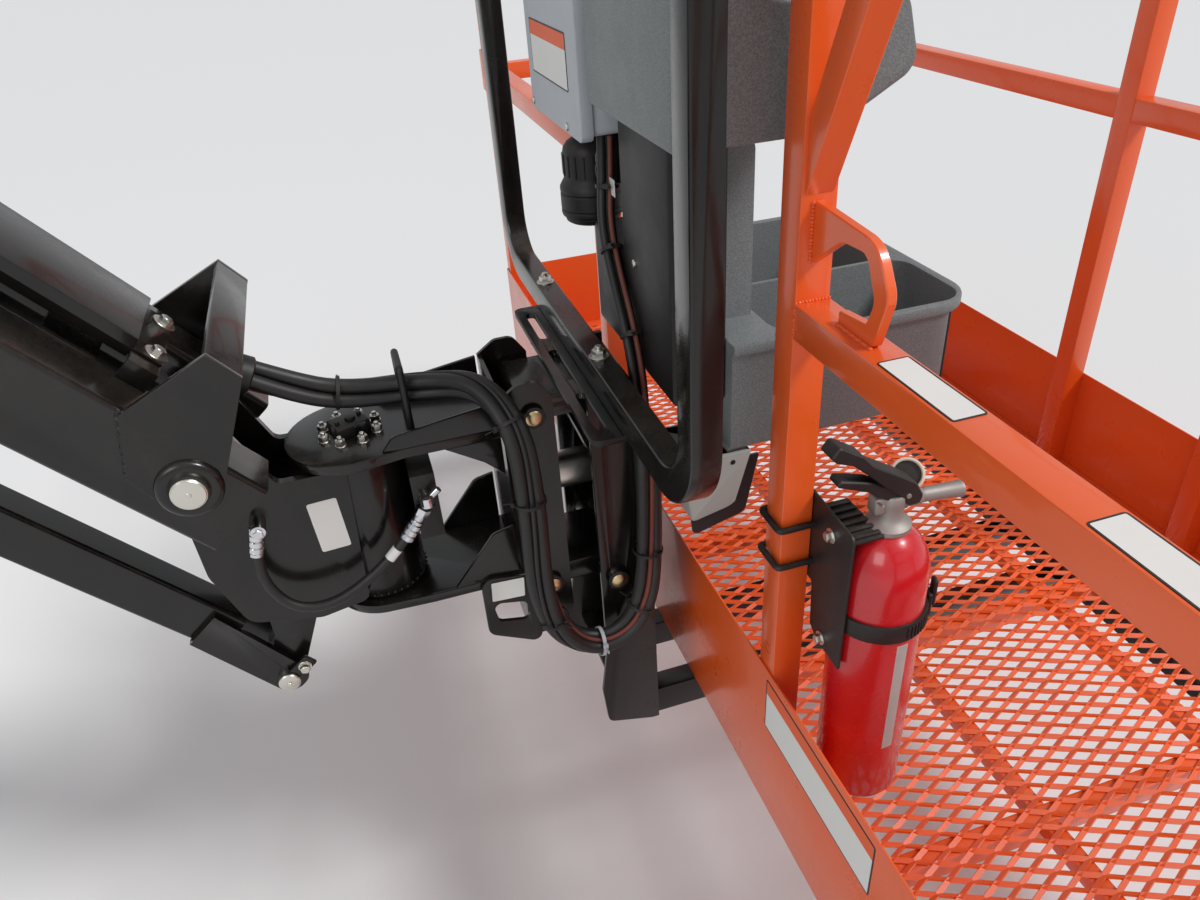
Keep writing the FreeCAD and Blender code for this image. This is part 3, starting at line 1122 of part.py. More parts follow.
for build in (rear_knuckle, rear_pins, jib_tubes, jib_cross_plates, hose_cover, front_upper_pin, lower_link, front_lower_pin,
              cylinder, front_knuckle, valve_block, arms, hose_hoop, mounts, transport_bracket, support_arms, slotted_plate,
              console_guard, console, tool_tray, platform_rails, rail_braces, toe_boards, floor, lanyard_plates, extinguisher,
              gate, entry_bar, hoses):
    build()
    doc.recompute()
    failed = [item.Name for item in doc.Objects if {"Invalid", "Error"} & set(item.State)]
    if failed:
        raise RuntimeError("%s: features failed: %s" % (build.__name__, ", ".join(failed)))
os.makedirs("parts", exist_ok=True)
for part in NODES:
    shape = part.Shape
    if shape.isNull() or not shape.isValid() or not shape.Solids:
        raise RuntimeError("bad shape: " + part.Label)
    shape.exportStep("parts/%s.step" % part.Label)
    box_now = shape.BoundBox
    print("%-24s solids %d volume %.0f  x %.0f..%.0f y %.0f..%.0f z %.0f..%.0f" % (
        part.Label, len(shape.Solids), shape.Volume, box_now.XMin, box_now.XMax, box_now.YMin, box_now.YMax,
        box_now.ZMin, box_now.ZMax))
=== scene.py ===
# %% [markdown]
# # Work platform of a boom lift
# A boom lift carries people in a railed platform at the end of its boom. This lesson dresses the
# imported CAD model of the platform, its mount and its jib: it keeps the CAD solids whose shape is
# right, gives them painted, plated and moulded finishes, and replaces the rest by finer meshes.

# %% Load the frame
import bmesh
import bpy
import json
import math
from mathutils import Matrix, Vector


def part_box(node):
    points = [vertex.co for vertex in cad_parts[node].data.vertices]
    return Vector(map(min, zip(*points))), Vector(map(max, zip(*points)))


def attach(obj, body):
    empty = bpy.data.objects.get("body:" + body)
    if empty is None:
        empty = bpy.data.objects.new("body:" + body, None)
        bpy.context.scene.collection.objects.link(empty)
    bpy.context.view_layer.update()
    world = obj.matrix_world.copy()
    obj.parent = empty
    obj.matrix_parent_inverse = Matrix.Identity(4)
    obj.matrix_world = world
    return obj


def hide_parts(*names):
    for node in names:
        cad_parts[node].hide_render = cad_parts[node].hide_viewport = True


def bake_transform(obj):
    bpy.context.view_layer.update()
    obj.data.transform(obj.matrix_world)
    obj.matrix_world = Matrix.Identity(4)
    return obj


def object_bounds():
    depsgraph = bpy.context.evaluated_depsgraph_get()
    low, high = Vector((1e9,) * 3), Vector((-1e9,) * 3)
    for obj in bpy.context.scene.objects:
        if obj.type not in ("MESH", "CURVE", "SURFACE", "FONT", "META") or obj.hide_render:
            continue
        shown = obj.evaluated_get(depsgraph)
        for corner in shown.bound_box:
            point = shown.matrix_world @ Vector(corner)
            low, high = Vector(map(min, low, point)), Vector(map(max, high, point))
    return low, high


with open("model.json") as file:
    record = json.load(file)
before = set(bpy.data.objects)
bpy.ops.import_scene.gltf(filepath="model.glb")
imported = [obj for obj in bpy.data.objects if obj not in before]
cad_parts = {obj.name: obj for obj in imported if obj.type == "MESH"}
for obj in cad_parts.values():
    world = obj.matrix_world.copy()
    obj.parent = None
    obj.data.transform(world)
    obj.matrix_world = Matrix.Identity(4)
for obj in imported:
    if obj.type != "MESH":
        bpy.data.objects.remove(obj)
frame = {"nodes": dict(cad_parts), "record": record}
cad_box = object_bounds()
nodes = frame["nodes"]

# %% [markdown]
# The platform stands on its own level: its floor is the zero height that every size on it is
# measured from. The origin of the part is far off, at the pin that joins the jib to the boom, so
# a small helper turns millimetres from the floor and the rail plane into metres of the part.

# %% Platform measure
rail_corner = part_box("top_rails")
FLOOR = Vector((rail_corner[0][0], 0.0, rail_corner[1][2] - 1.100))


def at(x, y, z):
    """A point of the platform, in millimetres from the rail plane, the middle and the floor."""
    return FLOOR + Vector((x, y, z)) / 1000


print("floor origin", [round(v, 4) for v in FLOOR])

# %% [markdown]
# The picture was taken by a person beside the platform, looking down at the mount with a wide
# phone lens. The camera is set from the same solved position, so that each piece can be compared
# with the picture.

# %% Camera
camera_data = bpy.data.cameras.new("camera")
camera_data.sensor_width = 36
camera_data.lens = 36 * 897.8 / 1200
camera_data.clip_start = 0.02
camera_data.clip_end = 60
camera = bpy.data.objects.new("camera", camera_data)
bpy.context.scene.collection.objects.link(camera)
right = Vector((0.95176981, -0.30025983, -0.0630735))
down = Vector((-0.21315517, -0.49924592, -0.83983236))
ahead = Vector((0.22067873, 0.81277152, -0.53916913))
turn = Matrix((right, -down, -ahead)).transposed().to_4x4()
camera.matrix_world = Matrix.Translation(at(-403.5, -1070, 1072)) @ turn
bpy.context.scene.camera = camera
print("camera at", [round(v, 3) for v in camera.location])

# %% [markdown]
# A pale floor lies below the lowest point of the part, and soft lamps stand for an open sky: one
# large key from the upper right, as the sun stands in the picture, and a wide fill. The world is
# white only for camera and gloss rays, so the metal has something pale to reflect while the
# diffuse light stays plain.

# %% Floor and light
low, high = cad_box
ground_mesh = bpy.data.meshes.new("ground")
ground_bm = bmesh.new()
bmesh.ops.create_grid(ground_bm, x_segments=1, y_segments=1, size=45)
bmesh.ops.translate(ground_bm, verts=ground_bm.verts, vec=(1.4, 0, low[2] - 0.45))
ground_bm.to_mesh(ground_mesh)
ground_bm.free()
ground = bpy.data.objects.new("ground", ground_mesh)
bpy.context.scene.collection.objects.link(ground)


def lamp(name, place, size, watts, target):
    """A square area lamp that faces the target."""
    light = bpy.data.lights.new(name, "AREA")
    light.size = size
    light.energy = watts
    holder = bpy.data.objects.new(name, light)
    holder.location = place
    holder.rotation_euler = (Vector(target) - Vector(place)).to_track_quat("-Z", "Y").to_euler()
    bpy.context.scene.collection.objects.link(holder)


sun = bpy.data.lights.new("sun", "SUN")
sun.energy = 2.3
sun.angle = math.radians(14)
sun_holder = bpy.data.objects.new("sun", sun)
sun_holder.rotation_euler = Vector((-3.3, 2.4, -4.6)).to_track_quat("-Z", "Y").to_euler()
bpy.context.scene.collection.objects.link(sun_holder)
lamp("fill", (-2.6, -4.2, 2.4), 3.0, 90, (1.2, 0, -0.9))

world = bpy.data.worlds.new("studio")
world.use_nodes = True
bpy.context.scene.world = world
tree = world.node_tree
sky = tree.nodes["Background"]
sky.inputs["Color"].default_value = (0.86, 0.88, 0.91, 1)
seen = tree.nodes.new("ShaderNodeLightPath")
direct = tree.nodes.new("ShaderNodeMath")
direct.operation = "MAXIMUM"
tree.links.new(seen.outputs["Is Camera Ray"], direct.inputs[0])
tree.links.new(seen.outputs["Is Transmission Ray"], direct.inputs[1])
bright = tree.nodes.new("ShaderNodeMapRange")
bright.inputs["To Min"].default_value = 0.42
bright.inputs["To Max"].default_value = 1.0
glossy = tree.nodes.new("ShaderNodeMath")
glossy.operation = "MULTIPLY_ADD"
glossy.inputs[1].default_value = 0.45
tree.links.new(seen.outputs["Is Glossy Ray"], glossy.inputs[0])
tree.links.new(direct.outputs["Value"], glossy.inputs[2])
tree.links.new(glossy.outputs["Value"], bright.inputs["Value"])
tree.links.new(bright.outputs["Result"], sky.inputs["Strength"])
bpy.context.scene.view_settings.view_transform = "Standard"
print("ground at", round(low[2] - 0.45, 3))

# %% [markdown]
# The paint of such machines is never one flat colour. It has a fine orange peel from spraying, it
# is dusty where dust can lie, and its gloss is broken by smears. These effects are shared by many
# finishes, so each is a node group with its own inputs, built once. The groups give out only
# masks, values and heights; the shader itself stays in the material.

# %% Node group helper
def node_group(name, inputs, outputs):
    """An empty shader group with float inputs and outputs, and its two end nodes."""
    group = bpy.data.node_groups.new(name, "ShaderNodeTree")
    for label, value in inputs:
        socket = group.interface.new_socket(name=label, in_out="INPUT", socket_type="NodeSocketFloat")
        socket.default_value = value
    for label in outputs:
        group.interface.new_socket(name=label, in_out="OUTPUT", socket_type="NodeSocketFloat")
    return group, group.nodes.new("NodeGroupInput"), group.nodes.new("NodeGroupOutput")


def add(tree, kind, links=(), **values):
    """A node with its settings; links pairs an input name with the socket that feeds it."""
    node = tree.nodes.new(kind)
    for key, value in values.items():
        if key in node.inputs:
            node.inputs[key].default_value = value
        else:
            setattr(node, key, value)
    for key, source in links:
        tree.links.new(source, node.inputs[key])
    return node


# %% Dust group: patches on faces that look up
dust_group, dust_in, dust_out = node_group("dust", [("Scale", 9.0), ("Amount", 0.3)], ["Mask"])
place = add(dust_group, "ShaderNodeTexCoord")
patches = add(dust_group, "ShaderNodeTexNoise", [("Vector", place.outputs["Object"]),
                                               ("Scale", dust_in.outputs["Scale"])], Detail=6.0, Roughness=0.62)
specks = add(dust_group, "ShaderNodeTexNoise", [("Vector", place.outputs["Object"])], Scale=160.0, Detail=3.0)
facing = add(dust_group, "ShaderNodeNewGeometry")
split = add(dust_group, "ShaderNodeSeparateXYZ", [("Vector", facing.outputs["Normal"])])
upward = add(dust_group, "ShaderNodeMapRange", [("Value", split.outputs["Z"])])
upward.inputs["From Min"].default_value = -0.1
upward.inputs["From Max"].default_value = 0.95
upward.inputs["To Min"].default_value = 0.22
patchy = add(dust_group, "ShaderNodeMapRange", [("Value", patches.outputs["Fac"])])
patchy.inputs["From Min"].default_value = 0.38
patchy.inputs["From Max"].default_value = 0.70
fine = add(dust_group, "ShaderNodeMapRange", [("Value", specks.outputs["Fac"])])
fine.inputs["From Min"].default_value = 0.35
fine.inputs["From Max"].default_value = 0.75
fine.inputs["To Min"].default_value = 0.55
both = add(dust_group, "ShaderNodeMath", [(0, patchy.outputs["Result"]), (1, fine.outputs["Result"])], operation="MULTIPLY")
lain = add(dust_group, "ShaderNodeMath", [(0, both.outputs["Value"]), (1, upward.outputs["Result"])], operation="MULTIPLY")
scaled = add(dust_group, "ShaderNodeMath", [(0, lain.outputs["Value"]), (1, dust_in.outputs["Amount"])], operation="MULTIPLY")
dust_group.links.new(scaled.outputs["Value"], dust_out.inputs["Mask"])
print("dust group", len(dust_group.nodes), "nodes")

# %% Grain group: a height for orange peel or moulded grain
grain_group, grain_in, grain_out = node_group("grain", [("Scale", 400.0), ("Depth", 0.5)], ["Height", "Smear"])
place = add(grain_group, "ShaderNodeTexCoord")
peel = add(grain_group, "ShaderNodeTexNoise", [("Vector", place.outputs["Object"]),
                                              ("Scale", grain_in.outputs["Scale"])], Detail=2.0, Roughness=0.5)
height = add(grain_group, "ShaderNodeMath", [(0, peel.outputs["Fac"]), (1, grain_in.outputs["Depth"])], operation="MULTIPLY")
smear = add(grain_group, "ShaderNodeTexNoise", [("Vector", place.outputs["Object"])], Scale=14.0, Detail=5.0, Roughness=0.7)
grain_group.links.new(height.outputs["Value"], grain_out.inputs["Height"])
grain_group.links.new(smear.outputs["Fac"], grain_out.inputs["Smear"])
print("grain group", len(grain_group.nodes), "nodes")

# %% [markdown]
# Every finish here is one Principled shader with a base colour that dust pales, a roughness that
# smears and dust raise, and a small bump. Only the numbers differ: black gloss paint on the jib
# and mount, orange on the platform, zinc on the pins, grained plastic on the tray.

# %% Finish helper
DUST = (0.36, 0.29, 0.22, 1)


def finish_of(name, colour, rough, metal=0.0, coat=0.0, dust=0.25, dust_scale=9.0, grain=400.0, depth=0.35,
              bump=0.0003, smear=0.12, specular=0.5, speckle=0.0):
    """A dusted and grained finish."""
    material = bpy.data.materials.new(name)
    material.use_nodes = True
    tree = material.node_tree
    shader = tree.nodes["Principled BSDF"]
    shader.inputs["Coat Roughness"].default_value = 0.08
    shader.inputs["Specular IOR Level"].default_value = specular
    powder = add(tree, "ShaderNodeGroup", node_tree=dust_group)
    powder.inputs["Scale"].default_value = dust_scale
    powder.inputs["Amount"].default_value = dust
    skin = add(tree, "ShaderNodeGroup", node_tree=grain_group)
    skin.inputs["Scale"].default_value = grain
    skin.inputs["Depth"].default_value = depth
    shade = add(tree, "ShaderNodeMix", [(0, powder.outputs["Mask"])], data_type="RGBA")
    shade.inputs[6].default_value = colour
    if speckle:
        grainy = add(tree, "ShaderNodeMapRange", [("Value", skin.outputs["Height"])])
        grainy.inputs["From Min"].default_value = depth * 0.36
        grainy.inputs["From Max"].default_value = depth * 0.66
        mottled = add(tree, "ShaderNodeMix", [(0, grainy.outputs["Result"])], data_type="RGBA")
        mottled.inputs[6].default_value = tuple(c * (1 - speckle) for c in colour[:3]) + (1,)
        mottled.inputs[7].default_value = tuple(c * (1 + speckle) for c in colour[:3]) + (1,)
        tree.links.new(mottled.outputs[2], shade.inputs[6])
    shade.inputs[7].default_value = DUST
    tree.links.new(shade.outputs[2], shader.inputs["Base Color"])
    smeared = add(tree, "ShaderNodeMapRange", [("Value", skin.outputs["Smear"])])
    smeared.inputs["From Min"].default_value = 0.3
    smeared.inputs["From Max"].default_value = 0.7
    smeared.inputs["To Min"].default_value = rough
    smeared.inputs["To Max"].default_value = rough + smear
    dulled = add(tree, "ShaderNodeMath", [(0, smeared.outputs["Result"]), (1, powder.outputs["Mask"])], operation="ADD")
    dulled.use_clamp = True
    tree.links.new(dulled.outputs["Value"], shader.inputs["Roughness"])
    relief = add(tree, "ShaderNodeBump", [("Height", skin.outputs["Height"])], Strength=0.6)
    relief.inputs["Distance"].default_value = bump
    tree.links.new(relief.outputs["Normal"], shader.inputs["Normal"])
    shader.inputs["Metallic"].default_value = metal
    shader.inputs["Coat Weight"].default_value = coat
    return material


def linear(red, green, blue):
    """A colour written as the screen shows it, 0 to 255, as the shader wants it."""
    parts = [value / 255 for value in (red, green, blue)]
    return tuple(p / 12.92 if p <= 0.04045 else ((p + 0.055) / 1.055) ** 2.4 for p in parts) + (1,)


FINISHES = {
    "lift_paint": finish_of("black_gloss", linear(16, 14, 13), 0.15, coat=0.2, dust=0.10, smear=0.14, specular=0.36),
    "frame_paint": finish_of("orange_gloss", linear(232, 92, 30), 0.24, coat=0.3, dust=0.12),
    "zinc": finish_of("zinc_plate", linear(206, 203, 194), 0.24, metal=1.0, dust=0.05, grain=900.0, bump=0.0001),
    "dark_metal": finish_of("black_satin", linear(21, 20, 21), 0.34, dust=0.18, specular=0.4),
    "dark_plastic": finish_of("black_plastic", linear(19, 18, 20), 0.42, dust=0.16, grain=700.0, bump=0.0004, specular=0.4),
    "grey_plastic": finish_of("grey_moulded", linear(112, 117, 118), 0.40, dust=0.06, grain=650.0, bump=0.0011, speckle=0.24),
    "light_grey": finish_of("light_grey_paint", linear(176, 182, 188), 0.38, dust=0.10),
    "chrome_rod": finish_of("chromed", linear(205, 206, 210), 0.08, metal=1.0, dust=0.05),
    "red_paint": finish_of("red_gloss", linear(196, 18, 30), 0.20, coat=0.4, dust=0.05),
    "hose_rubber": finish_of("hose_skin", linear(20, 20, 22), 0.42, dust=0.08, grain=900.0),
}
FINISHES["cable_striped"] = finish_of("striped_cable", linear(104, 46, 34), 0.50, dust=0.20, grain=700.0)
FINISHES["bin_grey"] = finish_of("bin_grey", linear(150, 150, 146), 0.40, dust=0.12, grain=600.0)
FINISHES["bare_casting"] = finish_of("bare_casting", linear(158, 152, 148), 0.48, metal=0.75, dust=0.16, grain=900.0)
FINISHES["yellow_zinc"] = finish_of("yellow_zinc", linear(214, 190, 146), 0.26, metal=1.0, dust=0.08, grain=900.0)
FINISHES["cream_plastic"] = finish_of("cream_plastic", linear(214, 204, 188), 0.40, dust=0.08, grain=700.0)
FINISHES["label_white"] = finish_of("label_white", linear(226, 226, 222), 0.42, dust=0.08, grain=300.0)
FINISHES["label_black"] = finish_of("label_black", linear(18, 18, 20), 0.45, dust=0.12)
FINISHES["label_orange"] = finish_of("label_orange", linear(232, 92, 30), 0.42, dust=0.08)
print("finishes", sorted(FINISHES))

# %% Finishes on the CAD nodes that stay
slot_of = {entry["node"]: entry["material_slot"] for entry in frame["record"]["subparts"]}
for name, thing in nodes.items():
    thing.data.materials.clear()
    thing.data.materials.append(FINISHES.get(slot_of[name], FINISHES["dark_plastic"]))
print("dressed", len(nodes), "nodes")

# %% [markdown]
# New pieces are modelled in millimetres, in the frame of the thing that carries them: the platform,
# or the jib, which slopes down to it. Each small form is a bmesh of its own, placed by a matrix and
# joined to its piece, so one function per form serves every bolt, plate and label.

# %% Frames of the platform, the jib and the lower link
joint_place = {entry["name"]: Vector(entry["pos_m"]) for entry in frame["record"]["behaviour"]["joints"] if "pos_m" in entry}
jib_foot = joint_place["jib_pitch"]
jib_way = joint_place["head_level"] - jib_foot
JIB_LENGTH = jib_way.length * 1000
ahead_way = jib_way.normalized()
jib_turn = Matrix((ahead_way, Vector((0, 1, 0)), Vector((-ahead_way.z, 0, ahead_way.x)))).transposed().to_4x4()
MILLIMETRE = Matrix.Scale(0.001, 4)
PLATFORM = Matrix.Translation(FLOOR) @ MILLIMETRE
JIB = Matrix.Translation(jib_foot) @ jib_turn @ MILLIMETRE
LINK = Matrix.Translation(joint_place["link_pitch"]) @ jib_turn @ MILLIMETRE
print("jib length", round(JIB_LENGTH, 1))

# %% Small forms
TINY = 1e-5


def place_matrix(spot, way=(0, 0, 1), spin=0.0):
    """Turns the Z axis of a form towards way, after a spin about it, and moves it to the spot."""
    lean = Vector((0, 0, 1)).rotation_difference(Vector(way)).to_matrix().to_4x4()
    return Matrix.Translation(spot) @ lean @ Matrix.Rotation(math.radians(spin), 4, "Z")


def join(bm, form, matrix=None):
    """Moves a small bmesh into place and adds it to a larger one."""
    if matrix is not None:
        bmesh.ops.transform(form, matrix=matrix, verts=form.verts)
    scrap = bpy.data.meshes.new("scrap")
    form.to_mesh(scrap)
    form.free()
    bm.from_mesh(scrap)
    bpy.data.meshes.remove(scrap)


def soften(form, edges, width, steps=2):
    """Rounds the given edges."""
    bmesh.ops.bevel(form, geom=edges, offset=width, offset_type="OFFSET", segments=steps, profile=0.5,
                    affect="EDGES", material=-1)


def stud(radius, low, high, sides=32, edge=0.8, steps=2, top=None):
    """A round or hexagonal boss along Z with a softened outer edge."""
    form = bmesh.new()
    bmesh.ops.create_cone(form, cap_ends=True, cap_tris=False, segments=sides, radius1=radius,
                          radius2=radius if top is None else top, depth=high - low)
    bmesh.ops.translate(form, verts=form.verts, vec=(0, 0, (low + high) / 2))
    rim = [e for e in form.edges if all(abs(v.co.z - high) < TINY for v in e.verts)]
    if edge:
        soften(form, rim, edge, steps)
    return form


def slab(low, high, edge=1.0, steps=2):
    """A block between two corners with all its edges softened."""
    form = bmesh.new()
    bmesh.ops.create_cube(form, size=1)
    size = [b - a for a, b in zip(low, high)]
    bmesh.ops.scale(form, vec=size, verts=form.verts)
    bmesh.ops.translate(form, verts=form.verts, vec=[(a + b) / 2 for a, b in zip(low, high)])
    if edge:
        soften(form, form.edges[:], edge, steps)
    return form


def turned(profile, steps=40):
    """A lathe form: the profile is pairs of radius and height, spun about Z."""
    profile = list(profile)
    starts, ends = profile[0][0] == 0, profile[-1][0] == 0
    if starts and not ends:
        profile.append((0, profile[-1][1]))
    elif ends and not starts:
        profile.insert(0, (0, profile[0][1]))
    elif not starts and profile[0] != profile[-1]:
        profile.append(profile[0])
    form = bmesh.new()
    row = [form.verts.new((radius, 0, height)) for radius, height in profile]
    edges = [form.edges.new(pair) for pair in zip(row, row[1:])]
    bmesh.ops.spin(form, geom=row + edges, cent=(0, 0, 0), axis=(0, 0, 1), angle=math.tau, steps=steps, use_merge=True)
    bmesh.ops.remove_doubles(form, verts=form.verts, dist=TINY)
    bmesh.ops.recalc_face_normals(form, faces=form.faces)
    return form


def cut_sheet(outline, thickness, edge=0.0, rounds=(), steps=5):
    """A flat plate in the XY plane: rounds pairs a corner's number with its radius."""
    form = bmesh.new()
    corners = [form.verts.new((x, y, 0)) for x, y in outline]
    form.faces.new(corners)
    for corner, radius in rounds:
        bmesh.ops.bevel(form, geom=[corners[corner]], offset=radius, offset_type="OFFSET", segments=steps, profile=0.5,
                        affect="VERTICES", material=-1)
    grown = bmesh.ops.extrude_face_region(form, geom=form.faces[:])
    bmesh.ops.translate(form, verts=[g for g in grown["geom"] if isinstance(g, bmesh.types.BMVert)], vec=(0, 0, thickness))
    bmesh.ops.recalc_face_normals(form, faces=form.faces)
    if edge:
        sharp = [e for e in form.edges if e.calc_face_angle(0) > 1.2]
        soften(form, sharp, edge, 1)
    return form


def piece(name, bm, body, slot, frame_matrix=PLATFORM, materials=None, crease=32):
    """Makes the object: it rides on a body and takes its finish from a slot of the record."""
    if frame_matrix is not None:
        bmesh.ops.transform(bm, matrix=frame_matrix, verts=bm.verts)
    for face in bm.faces:
        face.smooth = True
    mesh = bpy.data.meshes.new(name)
    bm.to_mesh(mesh)
    bm.free()
    mesh.set_sharp_from_angle(angle=math.radians(crease))
    thing = bpy.data.objects.new(name, mesh)
    bpy.context.scene.collection.objects.link(thing)
    for material in materials or [FINISHES[slot]]:
        mesh.materials.append(material)
    if body:
        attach(thing, body)
    print(name, len(mesh.polygons), "faces on", body or "two bodies")
    return thing


# %% [markdown]
# The floor is expanded metal: a steel sheet slit in staggered rows and pulled open, so that its
# strands run in zigzags that meet at each knuckle. One zigzag strand is extruded from a small
# square, its mirror image makes a row of diamonds, and an Array modifier repeats the row along
# the platform. The strands lean, because the sheet twists as it is pulled.

# %% Expanded metal floor
mesh_low, mesh_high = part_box("floor_mesh")
DIAMOND_ACROSS = 0.0508
ROWS = 101
row_pitch = (mesh_high.y - mesh_low.y) / ROWS
strand_form = bmesh.new()
strand_length = mesh_high.x - mesh_low.x
half_steps = int(strand_length / DIAMOND_ACROSS * 2) + 1
for mirror in (1, -1):
    square = bmesh.ops.create_grid(strand_form, x_segments=1, y_segments=1, size=0.5)["verts"]
    bmesh.ops.scale(strand_form, vec=(0.0030, 0.0074, 1), verts=square)
    bmesh.ops.rotate(strand_form, verts=square, cent=(0, 0, 0), matrix=Matrix.Rotation(math.radians(24 * mirror), 3, "Z"))
    bmesh.ops.rotate(strand_form, verts=square, cent=(0, 0, 0), matrix=Matrix(((0, 0, 1), (0, 1, 0), (1, 0, 0))))
    front = [f for f in strand_form.faces if all(v in square for v in f.verts)]
    for step in range(1, half_steps + 1):
        reach = min(DIAMOND_ACROSS / 2, strand_length - (step - 1) * DIAMOND_ACROSS / 2)
        if reach < 0.002:
            break
        share = reach / (DIAMOND_ACROSS / 2)
        side = mirror if step % 2 else -mirror
        grown = bmesh.ops.extrude_face_region(strand_form, geom=front, use_keep_orig=(step == 1))
        verts = [g for g in grown["geom"] if isinstance(g, bmesh.types.BMVert)]
        front = [g for g in grown["geom"] if isinstance(g, bmesh.types.BMFace)]
        bmesh.ops.translate(strand_form, verts=verts, vec=(reach, side * row_pitch / 2 * share, 0))
bmesh.ops.recalc_face_normals(strand_form, faces=strand_form.faces)
bmesh.ops.translate(strand_form, verts=strand_form.verts,
                    vec=(mesh_low.x, mesh_low.y + row_pitch / 2, mesh_high.z - 0.0022))
floor_metal = piece("floor_expanded_metal", strand_form, "platform", "frame_paint", None, crease=20)
repeat = floor_metal.modifiers.new("rows", "ARRAY")
repeat.count = ROWS
repeat.use_relative_offset = False
repeat.use_constant_offset = True
repeat.constant_offset_displace = (0, row_pitch, 0)
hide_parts("floor_mesh")
print("rows", ROWS, "pitch", round(row_pitch * 1000, 2), "mm")

# %% [markdown]
# The hoses are what gives the mount its look: a bundle of hydraulic hoses and one thin cable with a
# reddish stripe leaves the jib, runs through a wire hoop over the turning arm, hangs in a loop down
# the side of the mount and climbs to the box. Each is a smooth spline on the bundle's own route.
# The route is written once, and each hose keeps its own place beside it, carried along from point
# to point so that the bundle doesn't flip where it turns down.

# %% Hose helpers
def carried_sides(points):
    """Two directions across the route at each point, carried along without a twist."""
    ways = []
    for number in range(len(points)):
        before, after = points[max(number - 1, 0)], points[min(number + 1, len(points) - 1)]
        ways.append((after - before).normalized())
    side = Vector((0, 1, 0))
    pairs = []
    for number, way in enumerate(ways):
        if number:
            side = ways[number - 1].rotation_difference(way) @ side
        side = (side - way * side.dot(way)).normalized()
        pairs.append((side.copy(), way.cross(side)))
    return pairs


def route_curve(name, points, radius):
    """A smooth spline through the route, with a round section."""
    data = bpy.data.curves.new(name, "CURVE")
    data.dimensions = "3D"
    data.bevel_depth = radius
    data.bevel_resolution = 4
    data.resolution_u = 10
    data.use_fill_caps = True
    spline = data.splines.new("NURBS")
    spline.points.add(len(points) - 1)
    for knot, point in zip(spline.points, points):
        knot.co = (*point, 1)
    spline.order_u = 3
    spline.use_endpoint_u = True
    return data


def route_line(points):
    """The evaluated points of the route's own spline."""
    data = route_curve("route_line", points, 0.0)
    holder = bpy.data.objects.new("route_line", data)
    mesh = bpy.data.meshes.new_from_object(holder)
    line = [v.co.copy() for v in mesh.vertices]
    bpy.data.objects.remove(holder)
    bpy.data.curves.remove(data)
    bpy.data.meshes.remove(mesh)
    return line


def hose(name, points, radius, body, finish="hose_rubber"):
    """One hose as a finished mesh that rides on a body."""
    data = route_curve(name, points, radius)
    holder = bpy.data.objects.new(name + "_curve", data)
    mesh = bpy.data.meshes.new_from_object(holder)
    bpy.data.objects.remove(holder)
    bpy.data.curves.remove(data)
    mesh.name = name
    thing = bpy.data.objects.new(name, mesh)
    bpy.context.scene.collection.objects.link(thing)
    mesh.materials.clear()
    mesh.materials.append(FINISHES[finish])
    mesh.polygons.foreach_set("use_smooth", [True] * len(mesh.polygons))
    if body:
        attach(thing, body)
    return thing


def bundle_member(route, distance, angle, turn=0.0):
    """The route of one hose of a bundle, at a distance and an angle beside the middle."""
    points = []
    for number, (point, (side, rise)) in enumerate(zip(route, carried_sides(route))):
        lean = math.radians(angle + turn * number)
        points.append(point + side * (distance * math.cos(lean)) + rise * (distance * math.sin(lean)))
    return points


def tie(bm, line, share, radius, width=0.0046, thick=0.0012, head=True, spin=0.0):
    """A cable tie round the bundle at a share of its line."""
    spot_number = min(max(int(share * (len(line) - 1)), 1), len(line) - 2)
    way = (line[spot_number + 1] - line[spot_number - 1]).normalized()
    band = turned([(radius, -width / 2), (radius + thick, -width / 2), (radius + thick, width / 2), (radius, width / 2),
                   (radius, -width / 2)], 28)
    join(bm, band, place_matrix(line[spot_number], way, spin))
    if head:
        lock = slab((radius, -0.0034, -0.0036), (radius + 0.0052, 0.0034, 0.0036), 0.0006, 1)
        join(bm, lock, place_matrix(line[spot_number], way, spin))
        tail = slab((radius + 0.001, -0.0024, -0.0008), (radius + 0.016, 0.0024, 0.0008), 0.0003, 1)
        join(bm, tail, place_matrix(line[spot_number], way, spin + 8))


print("hose helpers ready")

# %% Hose bundle over the mount
LOOM_ROUTE = [at(*p) for p in (
    (-556, -14, 592), (-508, -12, 562), (-450, -8, 536), (-350, -20, 535), (-284, -66, 546), (-252, -126, 504),
    (-247, -138, 400), (-250, -137, 240), (-222, -135, 146), (-165, -134, 112), (-108, -131, 146), (-84, -126, 240),
    (-84, -119.5, 430))]
HOSE_RADIUS = 0.0095
loom_line = route_line(LOOM_ROUTE)
loom_parts = []
BESIDE = 0.0110
VALLEY = 0.0140
for number, (distance, angle, radius, finish) in enumerate(((BESIDE, 180, HOSE_RADIUS, "hose_rubber"),
                                                            (BESIDE, 300, HOSE_RADIUS, "hose_rubber"),
                                                            (BESIDE, 60, HOSE_RADIUS, "hose_rubber"),
                                                            (VALLEY, 240, 0.0033, "cable_striped"),
                                                            (VALLEY, 0, 0.0033, "hose_rubber"))):
    member = hose("loom_hose_%d" % (number + 1), bundle_member(LOOM_ROUTE, distance, angle, 22), radius, None, finish)
    loom_parts.append(member)
for member in loom_parts:
    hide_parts("hose_loom")
tie_form = bmesh.new()
for share, spin in ((0.13, 90), (0.395, 200), (0.50, 210), (0.645, 240), (0.885, 120), (0.955, 100)):
    tie(tie_form, loom_line, share, 0.0206, spin=spin)
loom_ties = piece("loom_ties", tie_form, None, "dark_plastic", None)
grommet = turned([(0, -0.007), (0.0215, -0.007), (0.0240, -0.0045), (0.0240, 0.008), (0.0215, 0.010), (0.0180, 0.010)], 36)
